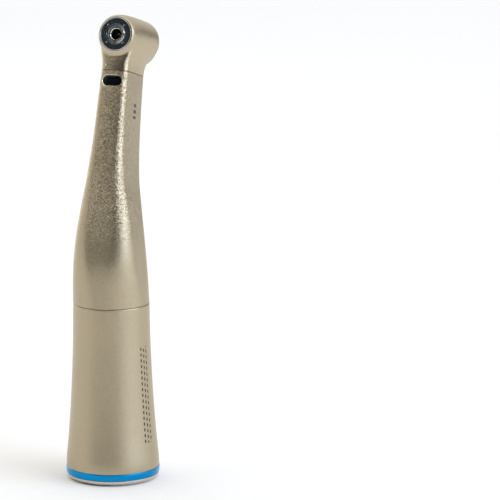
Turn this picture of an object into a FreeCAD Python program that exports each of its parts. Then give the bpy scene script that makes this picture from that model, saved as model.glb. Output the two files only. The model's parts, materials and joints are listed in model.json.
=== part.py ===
import FreeCAD, Part
import math
import os
import Sketcher

# Contra angle handpiece, millimetres.
# Origin at the middle of the rear end face, +Z up the handle, bur side towards -Y.
# Three frames carry every piece: the handle axis, the neck axis and the head axis.

DOC = FreeCAD.newDocument("contra_angle_handpiece")
VEC = FreeCAD.Vector
X_AXIS = VEC(1, 0, 0)

# name, value, what it is
SIZES = [
    ("bend_z", 57.1, "height of the point where handle and neck axes meet"),
    ("bend_deg", 15, "angle between handle and neck"),
    ("neck_len", 30.6, "bend point to the joint under the head"),
    ("head_at", 38.2, "bend point to the head axis"),
    ("part_z", 38.2, "parting line between rear sleeve and body"),
    ("part_rad", 8.2, "outer radius at the parting line"),
    ("ring_rad", 10.1, "outer radius of the colour ring"),
    ("ring_low", 1.2, "lower edge of the colour ring"),
    ("ring_top", 2.6, "upper edge of the colour ring"),
    ("end_rad", 8.8, "radius of the rear end face"),
    ("collar_rad", 8.85, "collar that carries the colour ring"),
    ("liner_rad", 7.6, "outside of the coupling liner"),
    ("mouth_rad", 7.75, "coupling bore at the mouth"),
    ("mouth_deep", 8.0, "depth of the wide part of the coupling bore"),
    ("nose_rad", 6.55, "coupling bore for the motor nose"),
    ("floor_z", 32.0, "bottom of the coupling bore"),
    ("floor_thick", 1.5, "thickness of that floor"),
    ("shaft_hole", 2.2, "hole in the floor for the drive dog"),
    ("flange_top", 34.5, "top of the carrier flange"),
    ("carrier_rad", 4.0, "outside of the gear carrier"),
    ("carrier_top", 53.4, "front end of the gear carrier"),
    ("wall", 0.55, "wall of the body shell"),
    ("input_rad", 1.5, "input shaft"),
    ("input_low", 32.4, "rear end of the input shaft"),
    ("input_top", 56.2, "front end of the input shaft"),
    ("socket_rad", 1.0, "bore for the dog stem in the input shaft"),
    ("socket_top", 42.6, "end of that bore"),
    ("dog_rad", 1.9, "drive dog head"),
    ("dog_low", 27.3, "rear end of the drive dog"),
    ("dog_neck", 31.0, "front face of the dog head"),
    ("dog_end", 38.5, "front end of the dog stem"),
    ("stem_rad", 0.95, "dog stem"),
    ("pin_rad", 0.3, "cross pin of the dog"),
    ("pin_z", 33.6, "cross pin height at rest"),
    ("dog_travel", 1.2, "how far the dog springs back"),
    ("neck_shaft_rad", 1.0, "neck shaft"),
    ("tube_rad", 2.4, "outside of the neck tube"),
    ("tube_low", 4.6, "rear end of the neck tube from the bend"),
    ("tube_top", 34.0, "front end of the neck tube from the bend"),
    ("bend_teeth", 12, "teeth on each gear at the bend"),
    ("bend_gear_rad", 3.0, "pitch radius at the outer end"),
    ("bend_gear_in", 1.75, "pitch radius at the inner end"),
    ("head_teeth", 12, "teeth on pinion and chuck gear"),
    ("head_gear_rad", 2.75, "pitch radius at the outer end"),
    ("head_gear_in", 2.05, "pitch radius at the inner end"),
    ("face_at", 6.4, "head face in front of the head centre"),
    ("face_rad", 3.78, "outer edge of the face"),
    ("rim_rad", 4.8, "largest radius of the head"),
    ("seam_at", -6.2, "seam between housing and rear cap"),
    ("cap_end", -7.5, "rear end of the rear cap"),
    ("cavity_rad", 3.5, "bearing bore of the head"),
    ("cap_bore", 3.65, "hole of the rear cap for the button"),
    ("button_rad", 3.6, "push button"),
    ("button_end", -8.3, "top of the button dome"),
    ("button_travel", 0.8, "button travel"),
    ("spindle_rad", 2.0, "chuck spindle in its bearings"),
    ("spindle_mid", 1.75, "chuck spindle between the bearings"),
    ("collet_rad", 1.4, "collet tube"),
    ("bur_bore", 1.2, "bore of the collet, for a 2.35 shank"),
    ("stem_end", -6.0, "rear end of the collet stem"),
    ("window_half", 2.2, "half length of the light window"),
    ("window_rad", 1.1, "end radius of the light window"),
    ("window_at", 28.5, "light window from the bend point"),
    ("window_deep", 5.19, "neck axis to the back of the light window"),
    ("window_thick", 0.45, "thickness of the light window"),
    ("nozzle_side", 2.1, "spray nozzle to the left of the neck axis"),
    ("nozzle_drop", 6.55, "spray nozzle below the head axis"),
    ("nozzle_base", 4.7, "neck axis to the back of the spray nozzle"),
    ("nozzle_rad", 0.3, "spray nozzle"),
    ("spanner_at", 2.62, "spanner holes from the middle of the face cap"),
    ("guide_rad", 0.6, "light guide"),
    ("pipe_rad", 0.4, "water and air tubes"),
    ("pipe_bore", 0.25, "bore of those tubes"),
    ("joint_front", 5.71, "neck axis to the front facet at the joint"),
    ("joint_back", 4.5, "neck axis to the back at the joint"),
    ("joint_half", 3.12, "half width at the joint"),
    ("input_bore", 1.5, "input bearing bore radius"),
    ("input_outer", 3.5, "input bearing outer radius"),
    ("input_wide", 3.0, "input bearing width"),
    ("input_ball", 0.6, "input bearing ball radius"),
    ("input_balls", 7, "balls per input bearing"),
    ("neck_bore", 1.0, "neck bearing bore radius"),
    ("neck_outer", 2.0, "neck bearing outer radius"),
    ("neck_wide", 2.0, "neck bearing width"),
    ("neck_ball", 0.28, "neck bearing ball radius"),
    ("neck_balls", 8, "balls per neck bearing"),
    ("chuck_bore", 2.0, "head bearing bore radius"),
    ("chuck_outer", 3.5, "head bearing outer radius"),
    ("chuck_wide", 2.0, "head bearing width"),
    ("chuck_ball", 0.4, "head bearing ball radius"),
    ("chuck_balls", 13, "balls per head bearing"),
    ("gap", 0.02, "gap between ball and race"),
]

# Sections of the body shell along its bent centre line.
# Station: centre y, centre z, tilt, half width, front depth, back depth, corner radius.
STATIONS = [
    (0.00, 38.20, 0.0, 8.20, 8.22, 8.18, 8.15),
    (0.05, 46.20, 1.7, 7.36, 7.76, 6.93, 5.57),
    (0.48, 53.18, 5.4, 6.47, 6.82, 5.64, 3.58),
    (1.22, 59.14, 8.7, 5.44, 6.38, 5.30, 2.52),
    (2.29, 65.04, 11.9, 4.29, 6.33, 5.29, 1.49),
    (3.95, 71.84, 15.0, 3.63, 6.07, 5.10, 0.95),
    (6.02, 79.57, 15.0, 3.28, 6.02, 4.75, 0.85),
    (7.9174, 86.6477, 15.0, 3.12, 5.71, 4.50, 0.80),
]
LETTERS = "abcdefghijklmno"
STATION_PARTS = ("cy", "cz", "tilt", "half", "front", "back", "round")


def slopes(places, values):
    """Gentle slopes for a curve through the values that never overshoots them."""
    steps = [(values[i + 1] - values[i]) / (places[i + 1] - places[i])
             for i in range(len(places) - 1)]
    found = [steps[0]]
    for before, after in zip(steps, steps[1:]):
        same_way = before * after > 0
        found.append(2 * before * after / (before + after) if same_way else 0.0)
    return found + [steps[-1]]


def between(stations):
    """The stations with one smooth in-between section added in every gap."""
    places = [station[1] for station in stations]
    columns = list(zip(*stations))
    tilts = [slopes(places, column) for column in columns]
    filled = []
    for index in range(len(stations) - 1):
        step = places[index + 1] - places[index]
        middle = [(column[index] + column[index + 1]) / 2 + step * (m[index] - m[index + 1]) / 8
                  for column, m in zip(columns, tilts)]
        filled += [stations[index], tuple(round(value, 4) for value in middle)]
    return filled + [stations[-1]]


def fill_sheet():
    """Write every driving size into the sheet, one row each, with its alias."""
    sheet = DOC.addObject("Spreadsheet::Sheet", "Sizes")
    rows = list(SIZES)
    for letter, station in zip(LETTERS, between(STATIONS)):
        for part, value in zip(STATION_PARTS, station):
            rows.append(("st%s_%s" % (letter, part), value, "shell section"))
    for row, (alias, value, note) in enumerate(rows, start=1):
        sheet.set("A%d" % row, alias)
        sheet.set("B%d" % row, str(value))
        sheet.set("C%d" % row, note)
        sheet.setAlias("B%d" % row, alias)
    DOC.recompute()
    return sheet, [row[0] for row in rows]


SHEET, ALIASES = fill_sheet()


def size(alias):
    """One driving size as a plain number."""
    return float(SHEET.get(alias))


def formula(text):
    """Turn a sum of aliases into an expression that points at the sheet."""
    words = []
    for word in str(text).replace("(", " ( ").replace(")", " ) ").split():
        words.append("Sizes." + word if word in ALIASES else word)
    joined = " ".join(words)
    return joined.replace("sin (", "sin(").replace("cos (", "cos(")


def circle_of_points(count):
    """Starting places for the corners of an outline; the sketch then moves them."""
    turn = 2 * math.pi / count
    return [VEC(5 + math.cos(i * turn), math.sin(i * turn), 0) for i in range(count)]


def new_body(name):
    """An empty body with its label."""
    body = DOC.addObject("PartDesign::Body", name)
    body.Label = name
    return body


def new_sketch(body, name, plane, offset=None):
    """A sketch on one of the body's own origin planes."""
    sketch = body.newObject("Sketcher::SketchObject", name)
    for feature in body.Origin.OriginFeatures:
        if feature.Role == plane:
            sketch.AttachmentSupport = [(feature, "")]
    sketch.MapMode = "FlatFace"
    if offset is not None:
        sketch.AttachmentOffset = offset
    return sketch


def hold_point(sketch, index, across, up):
    """Fix the start of one edge by two distances from the origin."""
    for kind, text in (("DistanceX", across), ("DistanceY", up)):
        constraint = Sketcher.Constraint(kind, -1, 1, index, 1, 1.0)
        where = sketch.addConstraint(constraint)
        sketch.setExpression("Constraints[%d]" % where, formula(text))


def outline(sketch, corners):
    """A closed outline of straight edges through corners given as formulas."""
    count = len(corners)
    start = circle_of_points(count)
    for index in range(count):
        sketch.addGeometry(Part.LineSegment(start[index], start[(index + 1) % count]))
    for index in range(count):
        following = (index + 1) % count
        sketch.addConstraint(Sketcher.Constraint("Coincident", index, 2, following, 1))
    for index, (across, up) in enumerate(corners):
        hold_point(sketch, index, across, up)


def circle(sketch, across, up, radius):
    """A circle whose centre and radius are formulas."""
    index = sketch.addGeometry(Part.Circle(VEC(1, 1, 0), VEC(0, 0, 1), 1.0))
    for kind, text in (("DistanceX", across), ("DistanceY", up)):
        where = sketch.addConstraint(Sketcher.Constraint(kind, -1, 1, index, 3, 1.0))
        sketch.setExpression("Constraints[%d]" % where, formula(text))
    where = sketch.addConstraint(Sketcher.Constraint("Radius", index, 1.0))
    sketch.setExpression("Constraints[%d]" % where, formula(radius))


def seat(thing, frame, along="0", across="0"):
    """Put a piece in the handle, neck or head frame, a distance along its axis."""
    bend = size("bend_deg")
    turn = {"handle": 0, "neck": -bend, "neck_back": 180 - bend,
            "head": 90 - bend, "head_back": -90 - bend}[frame]
    thing.Placement = FreeCAD.Placement(VEC(0, 0, 0), FreeCAD.Rotation(X_AXIS, turn))
    neck_y = "sin( bend_deg * 1deg )"
    neck_z = "cos( bend_deg * 1deg )"
    base_y = {"handle": "0", "neck": "( %s ) * %s" % (along, neck_y),
              "head": "head_at * %s - ( %s ) * %s" % (neck_y, along, neck_z)}
    base_z = {"handle": along, "neck": "bend_z + ( %s ) * %s" % (along, neck_z),
              "head": "bend_z + head_at * %s + ( %s ) * %s" % (neck_z, along, neck_y)}
    family = frame.split("_")[0]
    thing.setExpression("Placement.Base.y", formula(base_y[family]))
    thing.setExpression("Placement.Base.z", formula(base_z[family]))


def turned(name, frame, corners, along="0", body=None):
    """A piece turned from an outline of (radius, height along the axis)."""
    body = body or new_body(name)
    sketch = new_sketch(body, name + "_outline", "XZ_Plane")
    outline(sketch, corners)
    turning = body.newObject("PartDesign::Revolution", name + "_turned")
    turning.Profile = sketch
    turning.ReferenceAxis = (sketch, ["V_Axis"])
    turning.Angle = 360
    seat(body, frame, along)
    return body


def groove(body, name, corners=None, ring=None):
    """Turn away an outline, or a ring of round section (radius, height, size)."""
    sketch = new_sketch(body, name + "_outline", "XZ_Plane")
    if ring:
        circle(sketch, *ring)
    else:
        outline(sketch, corners)
    cut = body.newObject("PartDesign::Groove", name)
    cut.Profile = sketch
    cut.ReferenceAxis = (sketch, ["V_Axis"])
    cut.Angle = 360
    return cut


def offset_on(plane, distance):
    """A shift of a sketch along the normal of its plane."""
    return FreeCAD.Placement(VEC(0, 0, distance), FreeCAD.Rotation())


def drill(body, name, plane, distance, holes, depth, midplane=False):
    """Pocket a set of round holes (across, up, radius) from a shifted plane."""
    sketch = new_sketch(body, name + "_outline", plane, offset_on(plane, distance))
    for hole in holes:
        circle(sketch, *hole)
    cut = body.newObject("PartDesign::Pocket", name)
    cut.Profile = sketch
    cut.setExpression("Length", formula(depth))
    cut.Midplane = midplane
    return cut


def slot(body, name, plane, distance, corners, depth, midplane=False):
    """Pocket one straight-sided outline from a shifted plane."""
    sketch = new_sketch(body, name + "_outline", plane, offset_on(plane, distance))
    outline(sketch, corners)
    cut = body.newObject("PartDesign::Pocket", name)
    cut.Profile = sketch
    cut.setExpression("Length", formula(depth))
    cut.Midplane = midplane
    return cut


def around(body, name, features, count):
    """Repeat the named cuts round the body's own Z axis."""
    pattern = body.newObject("PartDesign::PolarPattern", name)
    pattern.Originals = features
    axis = [f for f in body.Origin.OriginFeatures if f.Role == "Z_Axis"][0]
    pattern.Axis = (axis, [""])
    pattern.Angle = 360
    pattern.Occurrences = count
    body.Tip = pattern
    return pattern


def box(half_across, half_up):
    """Corners of a rectangle about the origin."""
    return [("0 - " + half_across, "0 - " + half_up), (half_across, "0 - " + half_up),
            (half_across, half_up), ("0 - " + half_across, half_up)]


def coil(name, frame, along, radius, wire, height, turns):
    """A wound spring of round wire, its lower end at `along`."""
    body = new_body(name)
    sketch = new_sketch(body, name + "_wire", "XZ_Plane")
    circle(sketch, str(radius), str(wire), str(wire))
    winding = body.newObject("PartDesign::AdditiveHelix", name + "_coil")
    winding.Profile = sketch
    winding.ReferenceAxis = (sketch, ["V_Axis"])
    winding.Mode = 2
    winding.Height = height - 2 * wire
    winding.Turns = turns
    seat(body, frame, along)
    return body


def wire_ring(name, frame, radius, height, wire, degrees=360):
    """A ring of round wire; less than a full turn leaves it open."""
    body = new_body(name)
    sketch = new_sketch(body, name + "_section", "XZ_Plane")
    circle(sketch, radius, height, wire)
    bending = body.newObject("PartDesign::Revolution", name + "_bent")
    bending.Profile = sketch
    bending.ReferenceAxis = (sketch, ["V_Axis"])
    bending.Angle = degrees
    seat(body, frame)
    return body


def bearing(name, frame, along, kind):
    """A ball bearing: outer ring, inner ring, cage and balls, its lower face at `along`."""
    bore, outer, wide = kind + "_bore", kind + "_outer", kind + "_wide"
    ball = kind + "_ball"
    pitch = "( %s + %s ) / 2" % (bore, outer)
    middle = wide + " / 2"
    shoulder = "0.75 * " + ball
    track = ball + " + gap"
    lip = "0.12"

    for part, inside, outside in (("outer_ring", pitch + " + " + shoulder, outer),
                                  ("inner_ring", bore, pitch + " - " + shoulder)):
        corners = [(inside + " + " + lip, "0"), (outside + " - " + lip, "0"),
                   (outside, lip), (outside, wide + " - " + lip),
                   (outside + " - " + lip, wide), (inside + " + " + lip, wide),
                   (inside, wide + " - " + lip), (inside, lip)]
        piece = turned(name + "_" + part, frame, corners, along)
        groove(piece, name + "_" + part + "_track", ring=(pitch, middle, track))

    inside = pitch + " - 0.5 * " + ball
    outside = pitch + " + 0.5 * " + ball
    low = middle + " - 1.5 * " + ball
    high = middle + " + 1.5 * " + ball
    cage = turned(name + "_cage", frame,
                  [(inside, low), (outside, low), (outside, high), (inside, high)], along)
    window = new_sketch(cage, name + "_cage_window", "XZ_Plane")
    circle(window, "0", middle, ball + " * 1.05")
    cut = cage.newObject("PartDesign::Pocket", name + "_cage_pocket")
    cut.Profile = window
    cut.setExpression("Length", formula(outer))
    around(cage, name + "_cage_pockets", [cut], int(size(kind + "_balls")))

    count = int(size(kind + "_balls"))
    radius = (size(bore) + size(outer)) / 2
    balls = []
    for index in range(count):
        angle = math.radians(90 + index * 360 / count)
        centre = VEC(radius * math.cos(angle), radius * math.sin(angle), size(wide) / 2)
        balls.append(Part.makeSphere(size(ball), centre))
    group = DOC.addObject("Part::Feature", name + "_balls")
    group.Label = name + "_balls"
    group.Shape = Part.makeCompound(balls)
    seat(group, frame, along)


def bevel_gear(name, frame, teeth, cone_deg, outer, inner, tall, bore, back, hub, half_step):
    """A bevel gear below its cone apex, teeth towards the apex.

    Every flank runs to the apex. `tall` is (above, below) the pitch cone at the
    outer end, `back` the plane behind the gear and `hub` (radius, plane) of its hub.
    """
    cone = math.radians(cone_deg)
    along = VEC(math.sin(cone), 0, -math.cos(cone))
    normal = VEC(math.cos(cone), 0, math.sin(cone))
    far = outer / math.sin(cone)
    shrink = inner / outer
    above, below = tall
    width = 2 * math.pi * outer / teeth
    side = VEC(0, 1, 0)

    def section(scale):
        tip = along * far + normal * above
        root = along * far - normal * (below + 0.1)
        half_tip = side * (0.125 * width)
        half_root = side * (0.28 * width)
        ring = [root - half_root, tip - half_tip, tip + half_tip, root + half_root]
        return [point * scale for point in ring]

    corners_out = section(1.0)
    corners_in = section(shrink)
    wires = [Part.makePolygon(c + [c[0]]) for c in (corners_out, corners_in)]
    tooth = Part.makeLoft(wires, True, True)
    root_out = along * far - normal * below
    root_in = root_out * shrink
    blank = Part.Face(Part.makePolygon([
        VEC(bore, 0, root_in.z), root_in, root_out, VEC(root_out.x, 0, back),
        VEC(hub[0], 0, back), VEC(hub[0], 0, hub[1]), VEC(bore, 0, hub[1]),
        VEC(bore, 0, root_in.z)]))
    gear = blank.revolve(VEC(0, 0, 0), VEC(0, 0, 1), 360)
    step = 360.0 / teeth
    first = 90 + (step / 2 if half_step else 0)
    turned_teeth = []
    for index in range(teeth):
        copy = tooth.copy()
        copy.rotate(VEC(0, 0, 0), VEC(0, 0, 1), first + index * step)
        turned_teeth.append(copy)
    gear = gear.multiFuse(turned_teeth).removeSplitter()
    piece = DOC.addObject("Part::Feature", name)
    piece.Label = name
    piece.Shape = gear
    apex = {"handle": "bend_z", "neck_back": "0", "neck": "head_at", "head_back": "0"}
    seat(piece, frame, apex[frame])
    return piece


def piped(name, points, radius, bore=0.0):
    """A rod or tube along a smooth curve through the points."""
    curve = Part.BSplineCurve()
    curve.interpolate([VEC(*point) for point in points])
    path = Part.Wire([curve.toShape()])
    start = curve.value(curve.FirstParameter)
    tangent = curve.tangent(curve.FirstParameter)[0]

    def sweep(size_of):
        ring = Part.Wire([Part.makeCircle(size_of, start, tangent)])
        return path.makePipeShell([ring], True, True)

    shape = sweep(radius)
    if bore:
        shape = shape.cut(sweep(bore))
    piece = DOC.addObject("Part::Feature", name)
    piece.Label = name
    piece.Shape = shape
    return piece


def neck_point(across, front, along):
    """A point of the neck frame in handle coordinates."""
    bend = math.radians(size("bend_deg"))
    return (across, along * math.sin(bend) - front * math.cos(bend),
            size("bend_z") + along * math.cos(bend) + front * math.sin(bend))


def rounded_section(body, name, letter, inset):
    """One shell section: a box with four round corners, set in by a wall."""
    value = {part: size("st%s_%s" % (letter, part)) for part in STATION_PARTS}
    place = FreeCAD.Placement(VEC(0, value["cy"], value["cz"]),
                              FreeCAD.Rotation(X_AXIS, -value["tilt"]))
    sketch = new_sketch(body, name, "XY_Plane", place)
    rounded_box(sketch, value["half"] - inset, value["front"] - inset,
                value["back"] - inset, max(value["round"] - inset, 0.35),
                ("st%s_half" % letter, "st%s_front" % letter, "st%s_back" % letter), inset)
    return sketch


def rounded_box(sketch, half, front, back, radius, names=None, inset=0.0):
    """Four edges and four arcs; front is towards -Y of the sketch."""
    right, left = half, -half
    low, high = -front, back
    spots = [(left + radius, low), (right - radius, low), (right, low + radius),
             (right, high - radius), (right - radius, high), (left + radius, high),
             (left, high - radius), (left, low + radius)]
    centres = [(right - radius, low + radius, -90), (right - radius, high - radius, 0),
               (left + radius, high - radius, 90), (left + radius, low + radius, 180)]
    for index in range(4):
        a = spots[2 * index]
        b = spots[2 * index + 1]
        sketch.addGeometry(Part.LineSegment(VEC(a[0], a[1], 0), VEC(b[0], b[1], 0)))
        x, y, turn = centres[index]
        ring = Part.Circle(VEC(x, y, 0), VEC(0, 0, 1), radius)
        sketch.addGeometry(Part.ArcOfCircle(ring, math.radians(turn), math.radians(turn + 90)))
    for index in range(4):
        line = 2 * index
        arc = line + 1
        after = (line + 2) % 8
        sketch.addConstraint(Sketcher.Constraint("Tangent", line, 2, arc, 1))
        sketch.addConstraint(Sketcher.Constraint("Tangent", arc, 2, after, 1))
    if not names:
        names = (str(half), str(front), str(back))
    for arc in (3, 5, 7):
        sketch.addConstraint(Sketcher.Constraint("Equal", 1, arc))
    sketch.addConstraint(Sketcher.Constraint("Radius", 1, radius))
    sketch.addConstraint(Sketcher.Constraint("Horizontal", 0))
    sketch.addConstraint(Sketcher.Constraint("Vertical", 2))
    sketch.addConstraint(Sketcher.Constraint("Horizontal", 4))
    sketch.addConstraint(Sketcher.Constraint("Vertical", 6))
    limits = [("DistanceX", 2, names[0], right), ("DistanceX", 6, names[0], left),
              ("DistanceY", 0, names[1], low), ("DistanceY", 4, names[2], high)]
    for kind, line, word, reach in limits:
        where = sketch.addConstraint(Sketcher.Constraint(kind, -1, 1, line, 1, reach))
        text = "%s - %s" % (word, inset)
        if reach < 0:
            text = "0 - ( %s )" % text
        sketch.setExpression("Constraints[%d]" % where, formula(text))


def lofted(body, name, sketches, cut=False):
    """Loft a row of sketches, adding to the body or cutting from it."""
    kind = "PartDesign::SubtractiveLoft" if cut else "PartDesign::AdditiveLoft"
    loft = body.newObject(kind, name)
    loft.Profile = sketches[0]
    loft.Sections = sketches[1:]
    return loft


def flange_screw(across, up):
    """One small screw with a slotted head, standing on the carrier flange."""
    top = size("flange_top")
    head = Part.makeCylinder(0.7, 0.7, VEC(across, up, top))
    shank = Part.makeCylinder(0.38, 2.6, VEC(across, up, top - 2.6))
    cut = Part.makeBox(1.6, 0.2, 0.35, VEC(across - 0.8, up - 0.1, top + 0.4))
    return head.fuse(shank).cut(cut)


def stadium(sketch, half, radius):
    """A slot outline with full round ends, long across."""
    run = half - radius
    sketch.addGeometry(Part.LineSegment(VEC(-run, -radius, 0), VEC(run, -radius, 0)))
    right = Part.Circle(VEC(run, 0, 0), VEC(0, 0, 1), radius)
    sketch.addGeometry(Part.ArcOfCircle(right, -math.pi / 2, math.pi / 2))
    sketch.addGeometry(Part.LineSegment(VEC(run, radius, 0), VEC(-run, radius, 0)))
    left = Part.Circle(VEC(-run, 0, 0), VEC(0, 0, 1), radius)
    sketch.addGeometry(Part.ArcOfCircle(left, math.pi / 2, 1.5 * math.pi))
    for index in range(4):
        sketch.addConstraint(Sketcher.Constraint("Tangent", index, 2, (index + 1) % 4, 1))
    sketch.addConstraint(Sketcher.Constraint("Radius", 1, radius))
    sketch.addConstraint(Sketcher.Constraint("Horizontal", 0))
    sketch.addConstraint(Sketcher.Constraint("DistanceX", -1, 1, 0, 2, run))
    sketch.addConstraint(Sketcher.Constraint("DistanceX", -1, 1, 0, 1, -run))
    sketch.addConstraint(Sketcher.Constraint("DistanceY", -1, 1, 0, 1, -radius))


def neck_facing(along, front, across=0):
    """A placement on the front of the neck, its Z pointing out of the facet."""
    turn = 90 - size("bend_deg")
    return FreeCAD.Placement(VEC(*neck_point(across, front, along)),
                             FreeCAD.Rotation(X_AXIS, turn))


def place_freely(piece, placement):
    """Put a piece at a placement of its own instead of one of the three frames."""
    for path in ("Placement.Base.y", "Placement.Base.z"):
        piece.setExpression(path, None)
    piece.Placement = placement


# ---------------------------------------------------------------- handle

turned("end_ring", "handle", [
    ("mouth_rad + 0.4", "0"), ("end_rad", "0"), ("9.55", "0.3"), ("9.95", "0.75"),
    ("10.02", "ring_low - 0.05"), ("collar_rad", "ring_low - 0.05"),
    ("collar_rad", "5.6"), ("mouth_rad + 0.4", "5.6")])

turned("colour_ring", "handle", [
    ("collar_rad", "ring_low"), ("ring_rad - 0.12", "ring_low"), ("ring_rad", "ring_low + 0.15"),
    ("ring_rad", "ring_top - 0.2"), ("ring_rad - 0.12", "ring_top"), ("collar_rad", "ring_top")])

turned("rear_sleeve", "handle", [
    ("collar_rad", "ring_top + 0.03"), ("9.95", "ring_top + 0.03"), ("10.02", "3.9"),
    ("9.76", "6.6"), ("9.43", "10.1"), ("8.92", "17.2"), ("8.56", "24.2"), ("8.3", "31.3"),
    ("part_rad", "part_z - 0.15"), ("part_rad - 0.15", "part_z"), ("liner_rad", "part_z"),
    ("liner_rad", "10.0"), ("8.2", "9.65"), ("collar_rad", "9.2")])

LINER = turned("coupling_liner", "handle", [
    ("mouth_rad", "0.45"), ("mouth_rad + 0.25", "0.2"), ("mouth_rad + 0.4", "0.2"),
    ("mouth_rad + 0.4", "9.0"), ("liner_rad", "9.6"), ("liner_rad", "floor_z + floor_thick"),
    ("shaft_hole", "floor_z + floor_thick"), ("shaft_hole", "floor_z"),
    ("nose_rad", "floor_z"), ("nose_rad", "mouth_deep + 1.0"), ("mouth_rad", "mouth_deep")])
groove(LINER, "snap_ring_groove", [
    ("6.4", "11.6"), ("7.05", "11.6"), ("7.05", "12.4"), ("6.4", "12.4")])
SERVICE_HOLES = [("0", "0 - 5.75", "guide_rad + 0.05"), ("4.2", "0 - 4.2", "pipe_rad + 0.05"),
                 ("0 - 4.2", "0 - 4.2", "pipe_rad + 0.05")]
SCREW_PLACES = [(4.1, 4.1), (-4.1, 4.1), (0, 5.8)]
SCREW_HOLES = [("0 + ( %s )" % across, str(up), "0.4") for across, up in SCREW_PLACES]
drill(LINER, "liner_holes", "XY_Plane", 34.0, SERVICE_HOLES + SCREW_HOLES, "2.6")
drill(LINER, "pin_hole", "XZ_Plane", 0.0, [("0", "24", "0.7")], "9")

turned("index_pin", "handle", [
    ("0", "0 - 7.5"), ("0.6", "0 - 7.5"), ("0.7", "0 - 7.4"), ("0.7", "0 - 6.2"),
    ("0.6", "0 - 6.1"), ("0", "0 - 6.1")], "24")
DOC.index_pin.Placement.Rotation = FreeCAD.Rotation(X_AXIS, 90)

wire_ring("coupling_snap_ring", "handle", "6.67", "12", "0.36", 325)

CARRIER = turned("gear_carrier", "handle", [
    ("2.4", "floor_z + floor_thick"), ("liner_rad", "floor_z + floor_thick"),
    ("liner_rad", "flange_top"), ("carrier_rad", "flange_top"), ("carrier_rad", "carrier_top"),
    ("3.2", "carrier_top"), ("3.2", "carrier_top - 0.4"), ("input_outer", "carrier_top - 0.4"),
    ("input_outer", "36.0"), ("2.4", "36.0")])
drill(CARRIER, "carrier_holes", "XY_Plane", 35.0, SERVICE_HOLES + SCREW_HOLES, "2.0")

turned("joint_collar", "handle", [
    ("6.9", "flange_top"), ("liner_rad", "flange_top"), ("liner_rad", "part_z - 0.02"),
    ("7.25", "part_z - 0.02"), ("7.15", "40.5"), ("6.8", "40.5"), ("6.8", "flange_top + 0.3")])
groove(DOC.joint_collar, "seal_groove", [
    ("7.15", "36.6"), ("7.8", "36.6"), ("7.8", "37.4"), ("7.15", "37.4")])

wire_ring("sleeve_seal", "handle", "7.37", "37", "0.21")

SCREWS = DOC.addObject("Part::Feature", "flange_screws")
SCREWS.Label = "flange_screws"
SCREWS.Shape = Part.makeCompound([flange_screw(across, up) for across, up in SCREW_PLACES])

# ---------------------------------------------------------------- input shaft

bearing("input_rear_bearing", "handle", "36.05", "input")
bearing("input_front_bearing", "handle", "49.95", "input")

SHAFT = turned("input_shaft", "handle", [
    ("socket_rad", "input_low"), ("input_rad - 0.1", "input_low"), ("input_rad", "input_low + 0.1"),
    ("input_rad", "39.1"), ("2.0", "39.1"), ("2.0", "49.9"), ("input_rad", "49.9"),
    ("input_rad", "input_top"), ("0", "input_top"), ("0", "socket_top"),
    ("socket_rad", "socket_top")])
slot(SHAFT, "pin_slot", "YZ_Plane", 0.0, [
    ("0 - 0.33", "33.2"), ("0.33", "33.2"), ("0.33", "35.3"), ("0 - 0.33", "35.3")], "6", True)

DOG = turned("drive_dog", "handle", [
    ("0", "dog_low"), ("dog_rad - 0.3", "dog_low"), ("dog_rad", "dog_low + 0.3"),
    ("dog_rad", "dog_neck - 0.2"), ("dog_rad - 0.2", "dog_neck"), ("stem_rad", "dog_neck"),
    ("stem_rad", "dog_end - 0.1"), ("stem_rad - 0.1", "dog_end"), ("0", "dog_end")])
slot(DOG, "dog_fork", "YZ_Plane", 0.0, [
    ("0 - 0.6", "dog_low - 0.5"), ("0.6", "dog_low - 0.5"), ("0.6", "dog_low + 2.0"),
    ("0 - 0.6", "dog_low + 2.0")], "8", True)
drill(DOG, "dog_pin_hole", "YZ_Plane", 0.0, [("0", "pin_z", "pin_rad")], "8", True)

turned("dog_pin", "handle", [
    ("0", "0 - 1.4"), ("pin_rad - 0.06", "0 - 1.4"), ("pin_rad", "0 - 1.3"), ("pin_rad", "1.3"),
    ("pin_rad - 0.06", "1.4"), ("0", "1.4")], "pin_z")
DOC.dog_pin.Placement.Rotation = FreeCAD.Rotation(VEC(0, 1, 0), 90)

coil("dog_spring", "handle", "dog_end + 0.02", 0.78, 0.12, 4.0, 7)

bevel_gear("input_gear", "handle", int(size("bend_teeth")), 82.5,
           size("bend_gear_rad"), size("bend_gear_in"), (0.3, 0.36),
           size("input_rad"), -1.6, (2.4, -2.6), False)

# ---------------------------------------------------------------- neck

turned("neck_tube", "neck", [
    ("neck_outer", "tube_low"), ("tube_rad", "tube_low"), ("tube_rad", "tube_top"),
    ("1.65", "tube_top"), ("1.65", "tube_top - 0.3"), ("neck_outer", "tube_top - 0.3")])
bearing("neck_rear_bearing", "neck", "4.9", "neck")
bearing("neck_front_bearing", "neck", "31.35", "neck")
turned("neck_shaft", "neck", [
    ("0", "0.9"), ("neck_shaft_rad", "0.9"), ("neck_shaft_rad", "6.95"), ("1.25", "6.95"),
    ("1.25", "31.3"), ("neck_shaft_rad", "31.3"), ("neck_shaft_rad", "head_at - 2.35"),
    ("0", "head_at - 2.35")])
bevel_gear("neck_gear", "neck_back", int(size("bend_teeth")), 82.5,
           size("bend_gear_rad"), size("bend_gear_in"), (0.3, 0.36),
           size("neck_shaft_rad"), -1.6, (1.4, -4.85), True)
bevel_gear("neck_pinion", "neck", int(size("head_teeth")), 45,
           size("head_gear_rad"), size("head_gear_in"), (0.22, 0.28),
           size("neck_shaft_rad"), -3.6, (1.4, -4.5), False)

wire_ring("neck_seal", "neck", "tube_rad + 0.15", "31.2", "0.14")

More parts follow.
